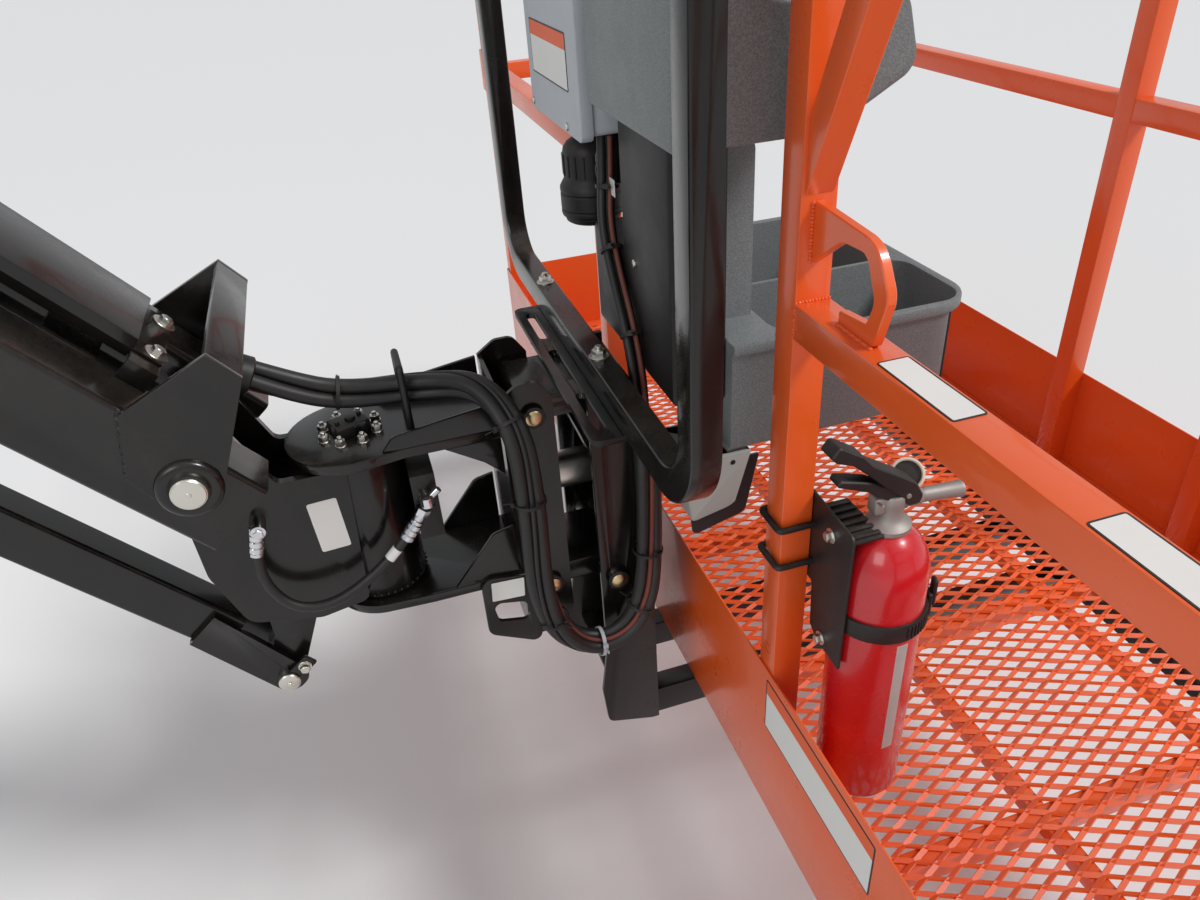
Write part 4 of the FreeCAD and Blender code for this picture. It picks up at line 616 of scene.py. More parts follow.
piece("loom_grommet", grommet, "platform_head", "dark_plastic", place_matrix(LOOM_ROUTE[0], LOOM_ROUTE[1] - LOOM_ROUTE[0]))
pale_form = bmesh.new()
tie(pale_form, loom_line, 0.765, 0.0206, width=0.0052, spin=250)
pale_tie = piece("loom_pale_tie", pale_form, None, "light_grey", None)
for member in loom_parts + [loom_ties, pale_tie]:
    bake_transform(member)
print("loom line", round(sum((b - a).length for a, b in zip(loom_line, loom_line[1:])), 3), "m")

# %% Hoses that rise to the box
SUPPLY_ROUTE = [at(*p) for p in ((-84, -119.5, 425), (-84, -116.8, 510), (-83, -88, 578), (-81, -34, 634), (-79, 10, 692),
                                 (-68, 30, 752), (-66, 31, 799))]
rising_parts = []
for number, (distance, angle, radius, finish) in enumerate(((0.0068, 75, 0.0062, "hose_rubber"),
                                                            (0.0068, 305, 0.0056, "hose_rubber"),
                                                            (0.0098, 190, 0.0034, "cable_striped"))):
    rising_parts.append(hose("rising_hose_%d" % (number + 1), bundle_member(SUPPLY_ROUTE, distance, angle), radius,
                             "platform", finish))
for member in rising_parts:
    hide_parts("supply_hoses")
supply_line = route_line(SUPPLY_ROUTE)
tie_form = bmesh.new()
for share, spin in ((0.32, 250), (0.62, 250), (0.86, 250)):
    tie(tie_form, supply_line, share, 0.0142, spin=spin)
piece("rising_ties", tie_form, "platform", "dark_plastic", None)
print("rising line", round(sum((b - a).length for a, b in zip(supply_line, supply_line[1:])), 3), "m")

# %% [markdown]
# One more hose feeds the turning gear: it leaves a bright elbow on the valve, is crimped into a
# ribbed steel sleeve, and loops back along the knuckle. The sleeve is a lathe form set on the
# hose's own line.

# %% Feed hose with its crimped fitting
FEED_ROUTE = [at(*p) for p in ((-374, -84, 398), (-386, -84, 378), (-416, -87, 344), (-460, -93, 308), (-516, -98, 281),
                               (-564, -96, 284), (-592, -88, 318), (-598, -80, 366), (-584, -76, 418))]
feed = hose("feed_hose_skin", FEED_ROUTE, 0.0068, "platform_head")
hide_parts("feed_hose")
feed_line = route_line(FEED_ROUTE)
fitting_form = bmesh.new()
lengths = [0.0]
for a, b in zip(feed_line, feed_line[1:]):
    lengths.append(lengths[-1] + (b - a).length)


def spot_on(line, sums, distance):
    """The place and the direction on a line at a distance from its start."""
    for number in range(1, len(line)):
        if sums[number] >= distance:
            way = (line[number] - line[number - 1]).normalized()
            return line[number - 1] + way * (distance - sums[number - 1]), way
    return line[-1], (line[-1] - line[-2]).normalized()


SLEEVE = [(0.0070, 0.0), (0.0088, 0.0), (0.0088, 0.004), (0.0080, 0.005), (0.0096, 0.006), (0.0098, 0.012), (0.0088, 0.0135),
          (0.0098, 0.015), (0.0098, 0.021), (0.0088, 0.0225), (0.0098, 0.024), (0.0096, 0.030), (0.0080, 0.032), (0.0070, 0.032)]
spot, way = spot_on(feed_line, lengths, 0.030)
join(fitting_form, turned(SLEEVE, 24), place_matrix(spot, way))
spot, way = spot_on(feed_line, lengths, 0.010)
join(fitting_form, stud(0.0100, 0.0, 0.011, 6, 0.0008), place_matrix(spot, way))
spot, way = spot_on(feed_line, lengths, 0.021)
join(fitting_form, stud(0.0072, 0.0, 0.010, 24, 0.0005), place_matrix(spot, way))
join(fitting_form, stud(0.0096, 0.0, 0.014, 24, 0.0012), place_matrix(at(-374, -84, 393), (0, 0, 1)))
join(fitting_form, stud(0.0100, 0.0, 0.012, 6, 0.0008), place_matrix(at(-374, -73, 402), (0, -1, 0)))
join(fitting_form, stud(0.0050, 0.0, 0.018, 16, 0.0008), place_matrix(at(-370, -84, 404), (0.75, -0.1, 0.65)))
last_way = (feed_line[-1] - feed_line[-3]).normalized()
join(fitting_form, turned(SLEEVE, 24), place_matrix(feed_line[-1] - last_way * 0.046, last_way))
join(fitting_form, stud(0.0096, 0.0, 0.008, 6, 0.0008), place_matrix(feed_line[-1] - last_way * 0.014, last_way))
join(fitting_form, stud(0.0098, 0.0, 0.023, 24, 0.0016, 2), place_matrix(at(-584, -63, 409), (0, -1, 0)))
join(fitting_form, stud(0.0066, 0.0, 0.004, 6, 0.0006, 1), place_matrix(at(-584, -86, 409), (0, -1, 0)))
piece("feed_fitting", fitting_form, "platform_head", "chrome_rod", None)
tag_form = bmesh.new()
spot, way = spot_on(feed_line, lengths, 0.078)
join(tag_form, turned([(0.0069, 0), (0.0072, 0), (0.0072, 0.018), (0.0069, 0.018)], 24), place_matrix(spot, way))
piece("feed_tag", tag_form, "platform_head", "light_grey", None, [FINISHES["label_white"]])

# %% Wire hoop over the hoses
hoop_low, hoop_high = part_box("hose_hoop")
wire_radius = 0.0048
hoop_middle = (hoop_low.x + hoop_high.x) / 2
hoop_top = hoop_high.z - wire_radius
hoop_sides = (hoop_low.y + wire_radius, hoop_high.y - wire_radius)
hoop_points = [Vector((hoop_middle, hoop_sides[0], hoop_low.z)), Vector((hoop_middle, hoop_sides[0], hoop_top - 0.05)),
               Vector((hoop_middle, hoop_sides[0], hoop_top - 0.012)), Vector((hoop_middle, hoop_sides[0], hoop_top)),
               Vector((hoop_middle, hoop_sides[0] + 0.012, hoop_top)), Vector((hoop_middle, hoop_sides[1] - 0.012, hoop_top)),
               Vector((hoop_middle, hoop_sides[1], hoop_top)), Vector((hoop_middle, hoop_sides[1], hoop_top - 0.012)),
               Vector((hoop_middle, hoop_sides[1], hoop_top - 0.05)), Vector((hoop_middle, hoop_sides[1], hoop_low.z))]
hoop_wire = hose("hoop_wire", hoop_points, wire_radius, "platform")
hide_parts("hose_hoop")
print("hoop", [round(v, 3) for v in hoop_low])

# %% [markdown]
# Fasteners show what is bolted and what is welded. The turning disc is held by eight plated screws
# round a black sensor block, the hose cover by two, and the guard by two more. One function makes a
# washer and a chamfered hexagon; the others only say where it goes.

# %% Bolt maker
def bolt(bm, spot, way=(0, 0, 1), across=13.0, head=6.5, washer=9.5, spin=0.0, washer_thick=1.6):
    """A washer and a chamfered hexagon head on a surface."""
    spot = Vector(spot)
    join(bm, stud(washer, 0.0, washer_thick, 28, 0.4, 1), place_matrix(spot, way))
    form = stud(across / 2 / math.cos(math.pi / 6), washer_thick, washer_thick + head, 6, 0.9, 2)
    join(bm, form, place_matrix(spot, way, spin))
    join(bm, stud(across * 0.40, washer_thick + head - 0.2, washer_thick + head + 0.5, 24, 0.3, 1), place_matrix(spot, way, spin))


# %% Disc screws and the sensor block
disc_low, disc_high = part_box("front_knuckle")
ROTATOR = -450.0
DISC_TOP = 478.0
screws = bmesh.new()
for number in range(8):
    angle = math.radians(22.5 + 45 * number)
    bolt(screws, (ROTATOR + 37 * math.cos(angle), 37 * math.sin(angle), DISC_TOP), across=12.0, head=7.5, washer=7.6,
         spin=13 * number, washer_thick=1.6)
    join(screws, stud(3.2, 7.0, 13.5, 16, 0.5, 1),
         place_matrix((ROTATOR + 37 * math.cos(angle), 37 * math.sin(angle), DISC_TOP), (0, 0, 1)))
piece("disc_screws", screws, "platform", "zinc")
sensor = bmesh.new()
join(sensor, slab((-23, -18, 0), (23, 18, 17), 2.0, 3), place_matrix((ROTATOR, 0, DISC_TOP), (0, 0, 1), 20))
join(sensor, stud(7, 17, 21, 24, 1.0), place_matrix((ROTATOR + 3, 1, DISC_TOP), (0, 0, 1)))
join(sensor, stud(3, 0, 4, 16, 0.8), place_matrix((ROTATOR - 14, -8, DISC_TOP + 17)))
join(sensor, stud(3, 0, 4, 16, 0.8), place_matrix((ROTATOR + 15, 9, DISC_TOP + 17)))
piece("sensor_block", sensor, "platform", "dark_plastic")

# %% [markdown]
# A big pin joins the jib to the knuckle. Its plated end stands out of a dark washer, and both have
# a soft chamfer that catches light. The lower link's pin is smaller, and a keeper bolted beside it
# stops it from turning.

# %% Jib pins
pins = bmesh.new()
rings = bmesh.new()
for side in (-1, 1):
    place = place_matrix((JIB_LENGTH, side * 159.6, 0), (0, side, 0))
    join(rings, turned([(20, -8), (35.6, -8), (36.4, -6.6), (36.0, -4.0), (34.2, -1.2), (31.4, 0.6), (28.0, 1.4), (23.0, 1.2),
                        (20.4, -0.4), (20, -8)], 48), place)
    join(pins, turned([(0, 9.4), (15.5, 9.4), (17.6, 9.0), (19.3, 7.2), (19.5, 6.0), (19.5, 0)], 48), place)
    join(pins, turned([(0, 9.9), (2.2, 9.9), (3.0, 9.4), (3.0, 9.0)], 20), place)
piece("front_pin_washers", rings, "jib", "lift_paint", JIB)
piece("front_pin_ends", pins, "jib", "zinc", JIB)
pins = bmesh.new()
keepers = bmesh.new()
place = place_matrix((JIB_LENGTH, -43.4, 0), (0, -1, 0))
join(pins, turned([(0, 4.6), (12.0, 4.6), (14.0, 4.0), (15.4, 2.4), (15.6, 0)], 40), place)
join(pins, turned([(0, 7.4), (2.4, 7.4), (3.2, 6.4), (3.2, 4.4)], 20), place)
join(keepers, slab((JIB_LENGTH - 11, -42.5, -6), (JIB_LENGTH + 11, -36.0, 48), 1.6), None)
bolt(pins, (JIB_LENGTH + 1, -42.5, 34), (0, -1, 0), across=13, head=7, washer=9.5)
bolt(pins, (JIB_LENGTH, 41.6, 34), (0, 1, 0), across=13, head=7, washer=9.0)
piece("link_pin_end", pins, "lower_link", "zinc", LINK)
piece("link_keeper", keepers, "lower_link", "lift_paint", LINK)

# %% Rear pin ends
pins = bmesh.new()
for side in (-1, 1):
    join(pins, turned([(0, 3.0), (16, 3.0), (18, 2.2), (19.5, 0)], 40), place_matrix((0, side * 154.6, 0), (0, side, 0)))
piece("rear_pin_ends", pins, "boom_knuckle", "zinc", JIB)

# %% Mount pins with their retaining rings
pins = bmesh.new()
rings = bmesh.new()
for x, outside in ((-220, 82), (-128, 107)):
    for z in (204, 487):
        for side in (-1, 1):
            place = place_matrix((x, side * (outside - 0.4), z), (0, side, 0))
            join(pins, turned([(0, 6.2), (5.5, 5.8), (9.0, 4.6), (11.2, 2.6), (11.8, 0)], 32), place)
            join(rings, turned([(11.6, 0), (15.2, 0), (15.4, 1.4), (14.4, 2.2), (11.8, 2.2)], 32), place)
piece("mount_pin_heads", pins, "platform", "zinc", PLATFORM, [FINISHES["yellow_zinc"]])
piece("mount_pin_rings", rings, "platform", "dark_metal")

# %% Cover screws
screws = bmesh.new()
for side in (-1, 1):
    bolt(screws, (JIB_LENGTH - 95, side * 45, 68), (0, 0, 1), across=14, head=7, washer=14.0, spin=20)
    bolt(screws, (76, side * 45, 80), (0, 0, 1), across=14, head=7, washer=14.0, spin=20)
piece("cover_screws", screws, "jib", "zinc", JIB)

# %% [markdown]
# A weld is a bead that stands a little proud of both plates, laid in short overlapping puddles. A
# row of balls, each a hand's breadth of nothing but a few faces, gives that ripple where
# the doubler plates, the posts and the lanyard plates meet their tubes.

# %% Weld beads
def weld(bm, start, end, radius=3.2, pitch=3.4):
    """A rippled bead between two points."""
    start, end = Vector(start), Vector(end)
    count = max(int((end - start).length / pitch), 2)
    for number in range(count + 1):
        spot = start.lerp(end, number / count)
        form = bmesh.new()
        bmesh.ops.create_icosphere(form, subdivisions=1, radius=radius * (1.0 + 0.12 * math.sin(number * 2.4)))
        join(bm, form, place_matrix(spot, (end - start).normalized(), 47 * number))


beads = bmesh.new()
for side in (-1, 1):
    outside = side * 144.8
    weld(beads, (JIB_LENGTH - 104, outside, 33), (JIB_LENGTH - 56, outside, -27), 4.4, 3.8)
    weld(beads, (JIB_LENGTH - 54, outside, -28), (JIB_LENGTH + 2, outside, -36), 4.4, 3.8)
    weld(beads, (JIB_LENGTH - 76, outside - side * 3, 134), (JIB_LENGTH - 34, outside - side * 3, 134), 2.6)
piece("jib_welds", beads, "jib", "lift_paint", JIB)
beads = bmesh.new()
for side in (-1, 1):
    weld(beads, (ROTATOR + 100, side * 69, 479), (-270, side * 69, 479), 2.2)
    weld(beads, (-330, side * 75, 238), (-268, side * 75, 236), 2.4)
    weld(beads, (-176, side * 100, 504), (-98, side * 100, 504), 2.6) if side > 0 else None
weld(beads, (ROTATOR + 44, -42, 466), (ROTATOR + 60, 0, 464), 2.0)
piece("mount_welds", beads, "platform", "lift_paint")
beads = bmesh.new()
for height in (228, 236):
    for number in range(40):
        angle = math.tau * number / 40
        form = bmesh.new()
        bmesh.ops.create_icosphere(form, subdivisions=1, radius=2.6)
        join(beads, form, place_matrix((ROTATOR + 60.5 * math.cos(angle), 60.5 * math.sin(angle), 245)))
    break
piece("housing_weld", beads, "platform_head", "lift_paint")
beads = bmesh.new()
for side in (-1, 1):
    for x in (0.5, 37.5):
        weld(beads, (x, side * 346.5, 671), (x, side * 346.5, 706), 2.2)
        weld(beads, (x, side * 307.5, 1063), (x, side * 346.0, 1063), 2.0)
    weld(beads, (1, side * 346.5, 708.5), (37, side * 346.5, 708.5), 2.2)
    weld(beads, (13, side * 346.5, 750), (13, side * 346.5, 806), 2.4)
    weld(beads, (12.5, side * 404, 708.6), (12.5, side * 460, 708.6), 2.4)
piece("rail_welds", beads, "platform", "frame_paint")

# %% [markdown]
# The anchor for a lanyard is a hook of thick plate: it springs from the post, bends down in a round
# shoulder and lands on the middle rail, and its lip leaves a gap for the hook to enter. The flat
# outline is cut out and given a thickness, and its edges are softened as a flame cut plate's are
# by paint.

# %% Lanyard hooks
def rounded(corners, steps=6):
    """An outline whose corners, given as x, y and radius, are rounded by straight steps."""
    ring = []
    count = len(corners)
    for number, (x, y, radius) in enumerate(corners):
        spot = Vector((x, y))
        if not radius:
            ring.append(spot)
            continue
        before = (Vector(corners[number - 1][:2]) - spot).normalized()
        after = (Vector(corners[(number + 1) % count][:2]) - spot).normalized()
        half = before.angle(after) / 2
        reach = radius / math.tan(half)
        centre = spot + (before + after).normalized() * (radius / math.sin(half))
        first = spot + before * reach - centre
        last = spot + after * reach - centre
        sweep = first.angle_signed(last)
        for step in range(steps + 1):
            angle = -sweep * step / steps
            ring.append(centre + Vector((first.x * math.cos(angle) - first.y * math.sin(angle),
                                         first.x * math.sin(angle) + first.y * math.cos(angle))))
    return [(p.x, p.y) for p in ring]


FLAT = Matrix(((1, 0, 0, 0), (0, 0, -1, 0), (0, 1, 0, 0), (0, 0, 0, 1)))
HOOK = [(346.4, 808, 0), (452, 801, 34), (477, 760, 26), (461, 708.4, 8), (402, 708.4, 0), (402, 721, 2), (446, 726, 5),
        (456, 750, 16), (438, 787, 14), (398, 785, 30), (346.4, 748, 0)]
hooks = bmesh.new()
for side in (-1, 1):
    form = cut_sheet([(side * y, z) for y, z in rounded(HOOK)], 10.0, 1.2)
    join(hooks, form, Matrix.Translation((14, 0, 0)) @ Matrix(((0, 0, 1, 0), (1, 0, 0, 0), (0, 1, 0, 0), (0, 0, 0, 1))))
bmesh.ops.recalc_face_normals(hooks, faces=hooks.faces)
hook_plates = piece("lanyard_hooks", hooks, "platform", "frame_paint")
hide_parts("lanyard_plates")

# %% [markdown]
# Every place that carries a printed sign on such a machine is left as a blank sign of the same
# size: a thin sheet with rounded corners, a dark border made by insetting its face, and where it
# has one a coloured band.

# %% Blank signs
SIGN_FINISHES = [FINISHES["label_white"], FINISHES["label_black"], FINISHES["label_orange"]]


def sign(bm, corner, right_way, up_way, width, height, border=2.0, band=0.0, band_side=0, round_corner=3.0):
    """A blank sign from its lower left corner: white, with a dark border and a coloured band."""
    form = bmesh.new()
    bmesh.ops.create_grid(form, x_segments=1, y_segments=1, size=0.5)
    bmesh.ops.scale(form, vec=(width, height, 1), verts=form.verts)
    bmesh.ops.translate(form, vec=(width / 2, height / 2, 0), verts=form.verts)
    if round_corner:
        bmesh.ops.bevel(form, geom=form.verts[:], offset=round_corner, offset_type="OFFSET", segments=4, profile=0.5,
                        affect="VERTICES", material=-1)
    grown = bmesh.ops.extrude_face_region(form, geom=form.faces[:])
    bmesh.ops.translate(form, verts=[g for g in grown["geom"] if isinstance(g, bmesh.types.BMVert)], vec=(0, 0, 0.5))
    top = [f for f in form.faces if f.calc_center_median().z > 0.49]
    if border:
        made = bmesh.ops.inset_region(form, faces=top, thickness=border, use_even_offset=True)
        for face in form.faces:
            face.material_index = 1
        for face in top:
            face.material_index = 0
    if band:
        near = height - band if band_side == 0 else width - band
        way = Vector((0, 1, 0)) if band_side == 0 else Vector((1, 0, 0))
        bmesh.ops.bisect_plane(form, geom=form.verts[:] + form.edges[:] + form.faces[:], plane_co=way * near, plane_no=way)
        for face in form.faces:
            if face.material_index == 0 and face.calc_center_median().dot(way) > near and face.calc_center_median().z > 0.49:
                face.material_index = 2
    right_way, up_way = Vector(right_way).normalized(), Vector(up_way).normalized()
    out = right_way.cross(up_way)
    matrix = Matrix((right_way, up_way, out)).transposed().to_4x4()
    join(bm, form, Matrix.Translation(corner) @ matrix)


signs = bmesh.new()
sign(signs, (-3.05, -336, 93), (0, -1, 0), (0, 0, 1), 257, 87, 2.2, 24)
for low in (-590, -830):
    sign(signs, (3, low, 708.05), (0, 1, 0), (-1, 0, 0), 106, 32, 1.8)
    sign(signs, (35, low, 708.05), (0, 1, 0), (-1, 0, 0), 106, 32, 1.8)
bmesh.ops.delete(signs, geom=[f for f in signs.faces if f.calc_center_median().x < 3 and f.calc_center_median().z > 700],
                 context="FACES")
piece("platform_signs", signs, "platform", "light_grey", PLATFORM, SIGN_FINISHES)
signs = bmesh.new()
sign(signs, (-519, -63.05, 342), (1, 0, 0.05), (-0.05, 0, 1), 38, 78, 0.0)
piece("knuckle_sign", signs, "platform_head", "light_grey", PLATFORM, SIGN_FINISHES)
signs = bmesh.new()
sign(signs, (-313, -82.05, 200), (1, 0, -0.06), (0.06, 0, 1), 50, 36, 1.2)
piece("tie_down_sign", signs, "platform", "light_grey", PLATFORM, SIGN_FINISHES)
signs = bmesh.new()
sign(signs, (-103.05, 236, 848), (0, -1, 0), (0, 0, 1), 178, 68, 2.0, 20)
sign(signs, (-70.05, 18, 729), (0, -1, 0), (0, 0, 1), 26, 24, 1.4)
piece("console_signs", signs, "platform", "light_grey", PLATFORM, SIGN_FINISHES)

# %% [markdown]
# The CAD solids have knife edges, but a bent sheet, a cut plate or a moulding never has: each edge
# is a narrow round that catches a line of light. For the pieces below, a copy of the CAD mesh is
# merged, its flat faces are made whole again, and only its sharp edges are rounded. The copy
# stands for the CAD node and rides on the same body, so nothing moves.

# %% Softened plates, tubes and mouldings
body_of = {name: body for body, names in frame["record"]["behaviour"]["bodies"].items() for name in names}
SOFTENED = {
    "jib_tubes": 2.2, "jib_cross_plates": 1.0, "hose_cover": 1.6, "lower_link": 2.0, "rear_knuckle": 1.4,
    "front_knuckle": 1.2, "valve_block": 1.0, "upper_arm": 1.2, "lower_arm": 1.2, "inner_mount": 1.4, "outer_mount": 1.2,
    "mount_links": 1.0, "load_cell": 1.2, "tie_down_plate": 1.2, "support_arms": 1.8, "slotted_plate": 1.2,
    "console_guard": 2.6, "socket_box": 2.4, "socket_box_lid": 1.6, "console_cover": 5.0, "control_console": 5.0,
    "console_hangers": 1.0, "tool_tray": 2.6, "document_holder": 2.4, "platform_posts": 1.8, "mid_rails": 1.8,
    "top_rails": 1.8, "end_rail": 1.8, "rail_braces": 1.2, "side_toe_boards": 0.9, "end_toe_boards": 0.9,
    "floor_side_beams": 1.6, "floor_cross_beams": 1.4, "floor_stringers": 1.0, "gate_stiles": 1.8, "gate_rails": 1.8,
    "entry_bar": 1.6, "cylinder_barrel": 1.0,
}
BIN_TOP, BIN_SHARE, BIN_SLANT = 448.0, 0.52, 0.16


def softened_copy(name, width):
    """A merged copy of the CAD mesh in millimetres with rounded edges, and whether it is still whole."""
    form = bmesh.new()
    form.from_mesh(nodes[name].data)
    bmesh.ops.transform(form, matrix=Matrix.Scale(1000, 4), verts=form.verts)
    bmesh.ops.remove_doubles(form, verts=form.verts, dist=0.01)
    if name == "document_holder":
        for vert in form.verts:
            x, depth = vert.co.x - FLOOR.x * 1000, BIN_TOP - (vert.co.z - FLOOR.z * 1000)
            if depth > 0:
                vert.co.z += depth * (1 - BIN_SHARE + (x + 66) / 96 * BIN_SLANT)
    bmesh.ops.dissolve_limit(form, angle_limit=math.radians(1.5), verts=form.verts, edges=form.edges)
    torn = sum(not e.is_manifold for e in form.edges)
    volume = form.calc_volume()
    if width:
        sharp = [e for e in form.edges if len(e.link_faces) == 2 and e.calc_face_angle(0) > math.radians(40)]
        bmesh.ops.bevel(form, geom=sharp, offset=width, offset_type="OFFSET", segments=2, profile=0.5, affect="EDGES",
                        clamp_overlap=True, material=-1)
    whole = sum(not e.is_manifold for e in form.edges) <= torn and abs(form.calc_volume() / volume - 1) < 0.015
    return form, whole


softened_names = []
for name, width in SOFTENED.items():
    for share in (1.0, 0.5, 0.25, 0.0):
        form, whole = softened_copy(name, width * share)
        if whole or not share:
            break
        form.free()
    if share < 1:
        print("narrower edge on", name, width * share)
    for face in form.faces:
        face.material_index = 0
    special = {"document_holder": [FINISHES["bin_grey"]], "control_console": [FINISHES["grey_plastic"]]}.get(name)
    copy = piece("soft_" + name, form, body_of[name], slot_of[name], MILLIMETRE, special, crease=28)
    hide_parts(name)
    softened_names.append(copy.name)
print("softened", len(softened_names), "nodes")

# %% Dark sheet behind the document holder, and its rivet holes
backing = bmesh.new()
BACKING = [(-60, 440, 2), (42, 440, 3), (24, 352, 12), (-50, 332, 8)]
join(backing, cut_sheet(rounded(BACKING), 2.4, 0.6), Matrix.Translation((0, -200, 0)) @ FLAT)
for x, z in ((-52, 436), (4, 436)):
    join(backing, stud(3.4, 0, 0.5, 20, 0.0), place_matrix((x, -205, z), (0, -1, 0)))
piece("bin_backing", backing, "platform", "dark_plastic")

# %% [markdown]
# Under the socket box hang two plugs. The big one is a rubber boot: a cable, a domed shoulder, a
# body with grip flats, and a wide threaded collar with grooves. Turned from one profile it has all
# of those, and the flats are thin ribs set round it. The switch is an eight sided knob with a bar.

# %% Plugs and the switch knob
BIG_PLUG = [(0, 651), (36, 651), (39, 653), (40.5, 658), (44, 661), (45, 664), (45, 668), (43.4, 670), (45, 672), (45, 691),
            (43.4, 693), (45, 695), (45, 701), (41.5, 707), (38.5, 712), (38, 716), (38, 748), (36.5, 755), (31, 762),
            (23, 767), (18.5, 771), (17, 777), (16.5, 800)]
SMALL_PLUG = [(0, 731), (20, 731), (22.5, 733), (23.5, 738), (23.5, 752), (22, 754), (23.5, 756), (23.5, 764), (21, 769),
              (19, 774), (16.5, 778), (16.5, 800)]
plugs = bmesh.new()
for profile, (x, y), reach, ribs, span in ((BIG_PLUG, (-51, 167), 38.0, 18, (717, 747)), (SMALL_PLUG, (-47, 69), 23.2, 14, (739, 751))):
    join(plugs, turned(profile, 48), Matrix.Translation((x, y, 0)))
    for number in range(ribs):
        rib = slab((reach - 1.2, -2.0, span[0]), (reach + 1.5, 2.0, span[1]), 0.7, 1)
        join(plugs, rib, place_matrix((x, y, 0), (0, 0, 1), 360 * number / ribs))
KNOB = (-47.5, 17.0, 870.0)
join(plugs, stud(26, 0, 7, 8, 1.4, 2), place_matrix(KNOB, (0, -1, 0), 22.5))
join(plugs, stud(23.5, 7, 15, 8, 2.2, 3, top=21.5), place_matrix(KNOB, (0, -1, 0), 22.5))
join(plugs, slab((-6.5, -22, 14), (6.5, 22, 23), 2.0, 3), place_matrix(KNOB, (0, -1, 0), 15))
plug_set = piece("plugs_and_knob", plugs, "platform", "dark_plastic")
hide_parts("cable_sockets")

# %% Screws of the box, the cover and the guard
screws = bmesh.new()
for y, z in ((251, 806), (77, 804), (22, 1004), (251, 1004)):
    join(screws, stud(5.2, 0, 2.8, 28, 1.2, 3), place_matrix((-103, y, z), (-1, 0, 0)))
    join(screws, slab((-3.4, -0.5, 2.5), (3.4, 0.5, 3.1), 0.0), place_matrix((-103, y, z), (-1, 0, 0), 40))
join(screws, stud(5.2, 0, 3.0, 28, 1.3, 3), place_matrix((-70, -71, 667), (-1, 0, 0)))
for y in (204, -71):
    bolt(screws, (-124, y, 551), (0, 0, 1), across=16, head=8.5, washer=13.5, spin=17)
    join(screws, stud(4.6, 9.0, 15.0, 20, 0.7, 1), place_matrix((-124, y, 551)))
piece("box_screws", screws, "platform", "zinc")
knock = bmesh.new()
join(knock, turned([(13.6, 0), (14.6, 0), (14.6, 0.9), (13.6, 0.9), (13.6, 0)], 36), place_matrix((-47.5, 17, 948), (0, -1, 0)))
join(knock, turned([(9.0, 0), (9.8, 0), (9.8, 0.7), (9.0, 0.7), (9.0, 0)], 32), place_matrix((-47.5, 17, 948), (0, -1, 0)))
piece("knockout_rings", knock, "platform", "light_grey")

# %% [markdown]
# The extinguisher is a drawn steel bottle: a lathe profile gives its rolled foot, its straight wall
# and its round shoulder. Its valve is cast and left bare, with a black squeeze lever over a carrying
# grip, a round gauge and a short nozzle. A rubber strap with a ribbed clasp holds it to a plate,
# and two U-bolts round the post hold the plate.

# %% Extinguisher bottle and blank label
bottle_low, bottle_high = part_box("extinguisher_bottle")
BOTTLE = (96.0, -406.0)
BOTTLE_RADIUS = 52.0
RAISED = 48
BOTTLE_FOOT = [(0, 48), (34, 48), (43, 45), (48, 46.5), (50.5, 51), (50.8, 56), (52, 59)]
SHOULDER = [(52, 342), (51.6, 352), (49.8, 364), (46.4, 375), (41.4, 385), (35, 393.5), (28, 400), (22.5, 404), (20, 408), (0, 408)]
BOTTLE_WALL = BOTTLE_FOOT + [(radius, height + RAISED) for radius, height in SHOULDER]
bottle = piece("extinguisher_body", turned(BOTTLE_WALL, 72), "platform", "red_paint",
               PLATFORM @ Matrix.Translation((*BOTTLE, 0)), crease=50)
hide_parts("extinguisher_bottle")
label = bmesh.new()
bmesh.ops.create_grid(label, x_segments=8, y_segments=1, size=0.5)
for vert in label.verts:
    angle = math.radians(-86 + 16 * vert.co.x)
    height = 231 + 174 * vert.co.y
    vert.co = Vector((BOTTLE[0] + 52.25 * math.cos(angle), BOTTLE[1] + 52.25 * math.sin(angle), height))
grown = bmesh.ops.solidify(label, geom=label.faces[:], thickness=0.3)
bmesh.ops.recalc_face_normals(label, faces=label.faces)
piece("extinguisher_label", label, "platform", "light_grey", PLATFORM, [FINISHES["label_white"]])

# %% Extinguisher valve
cast = bmesh.new()
axis = Matrix.Translation((*BOTTLE, RAISED))
upright = Matrix.Translation((*BOTTLE, 0))
join(cast, turned([(0, 404), (23, 404), (25, 406), (25, 411), (22, 414), (17.5, 417), (15, 423), (14, 431), (15, 438),
                   (15, 446), (13, 449), (0, 449)], 48), axis)
join(cast, slab((-24, -9, 428), (18, 9, 450), 3.0, 3), axis)
nozzle = turned([(0, 14), (9.2, 14), (10.2, 15.5), (10.2, 32), (9, 34), (7.6, 36), (8.2, 40), (9.4, 80), (9.8, 81),
                 (9.8, 84), (8.6, 84), (7.4, 74), (0, 72)], 36)
join(cast, nozzle, axis @ place_matrix((0, 0, 439), (1, -0.06, -0.05)))
join(cast, stud(1.6, -9, 11, 16, 0.5, 1), axis @ place_matrix((-22, -11, 447), (-0.2, -1, 0.35)))
join(cast, stud(3.0, 0, 2.4, 20, 0.8, 2), axis @ place_matrix((12, -12.1, 449), (0, -1, 0)))
valve_cast = piece("extinguisher_cast", cast, "platform", "chrome_rod", PLATFORM, [FINISHES["bare_casting"]], crease=40)
levers = bmesh.new()
LEVER = [(-85, 567, 3), (-76, 579, 4), (-46, 560, 10), (-34, 546, 12), (0, 525, 16), (21, 511, 14), (32, 492, 8), (28, 482, 4),
         (15, 482, 5), (0, 500, 14), (-18, 515, 12), (-40, 536, 10), (-58, 552, 8), (-78, 560, 4)]
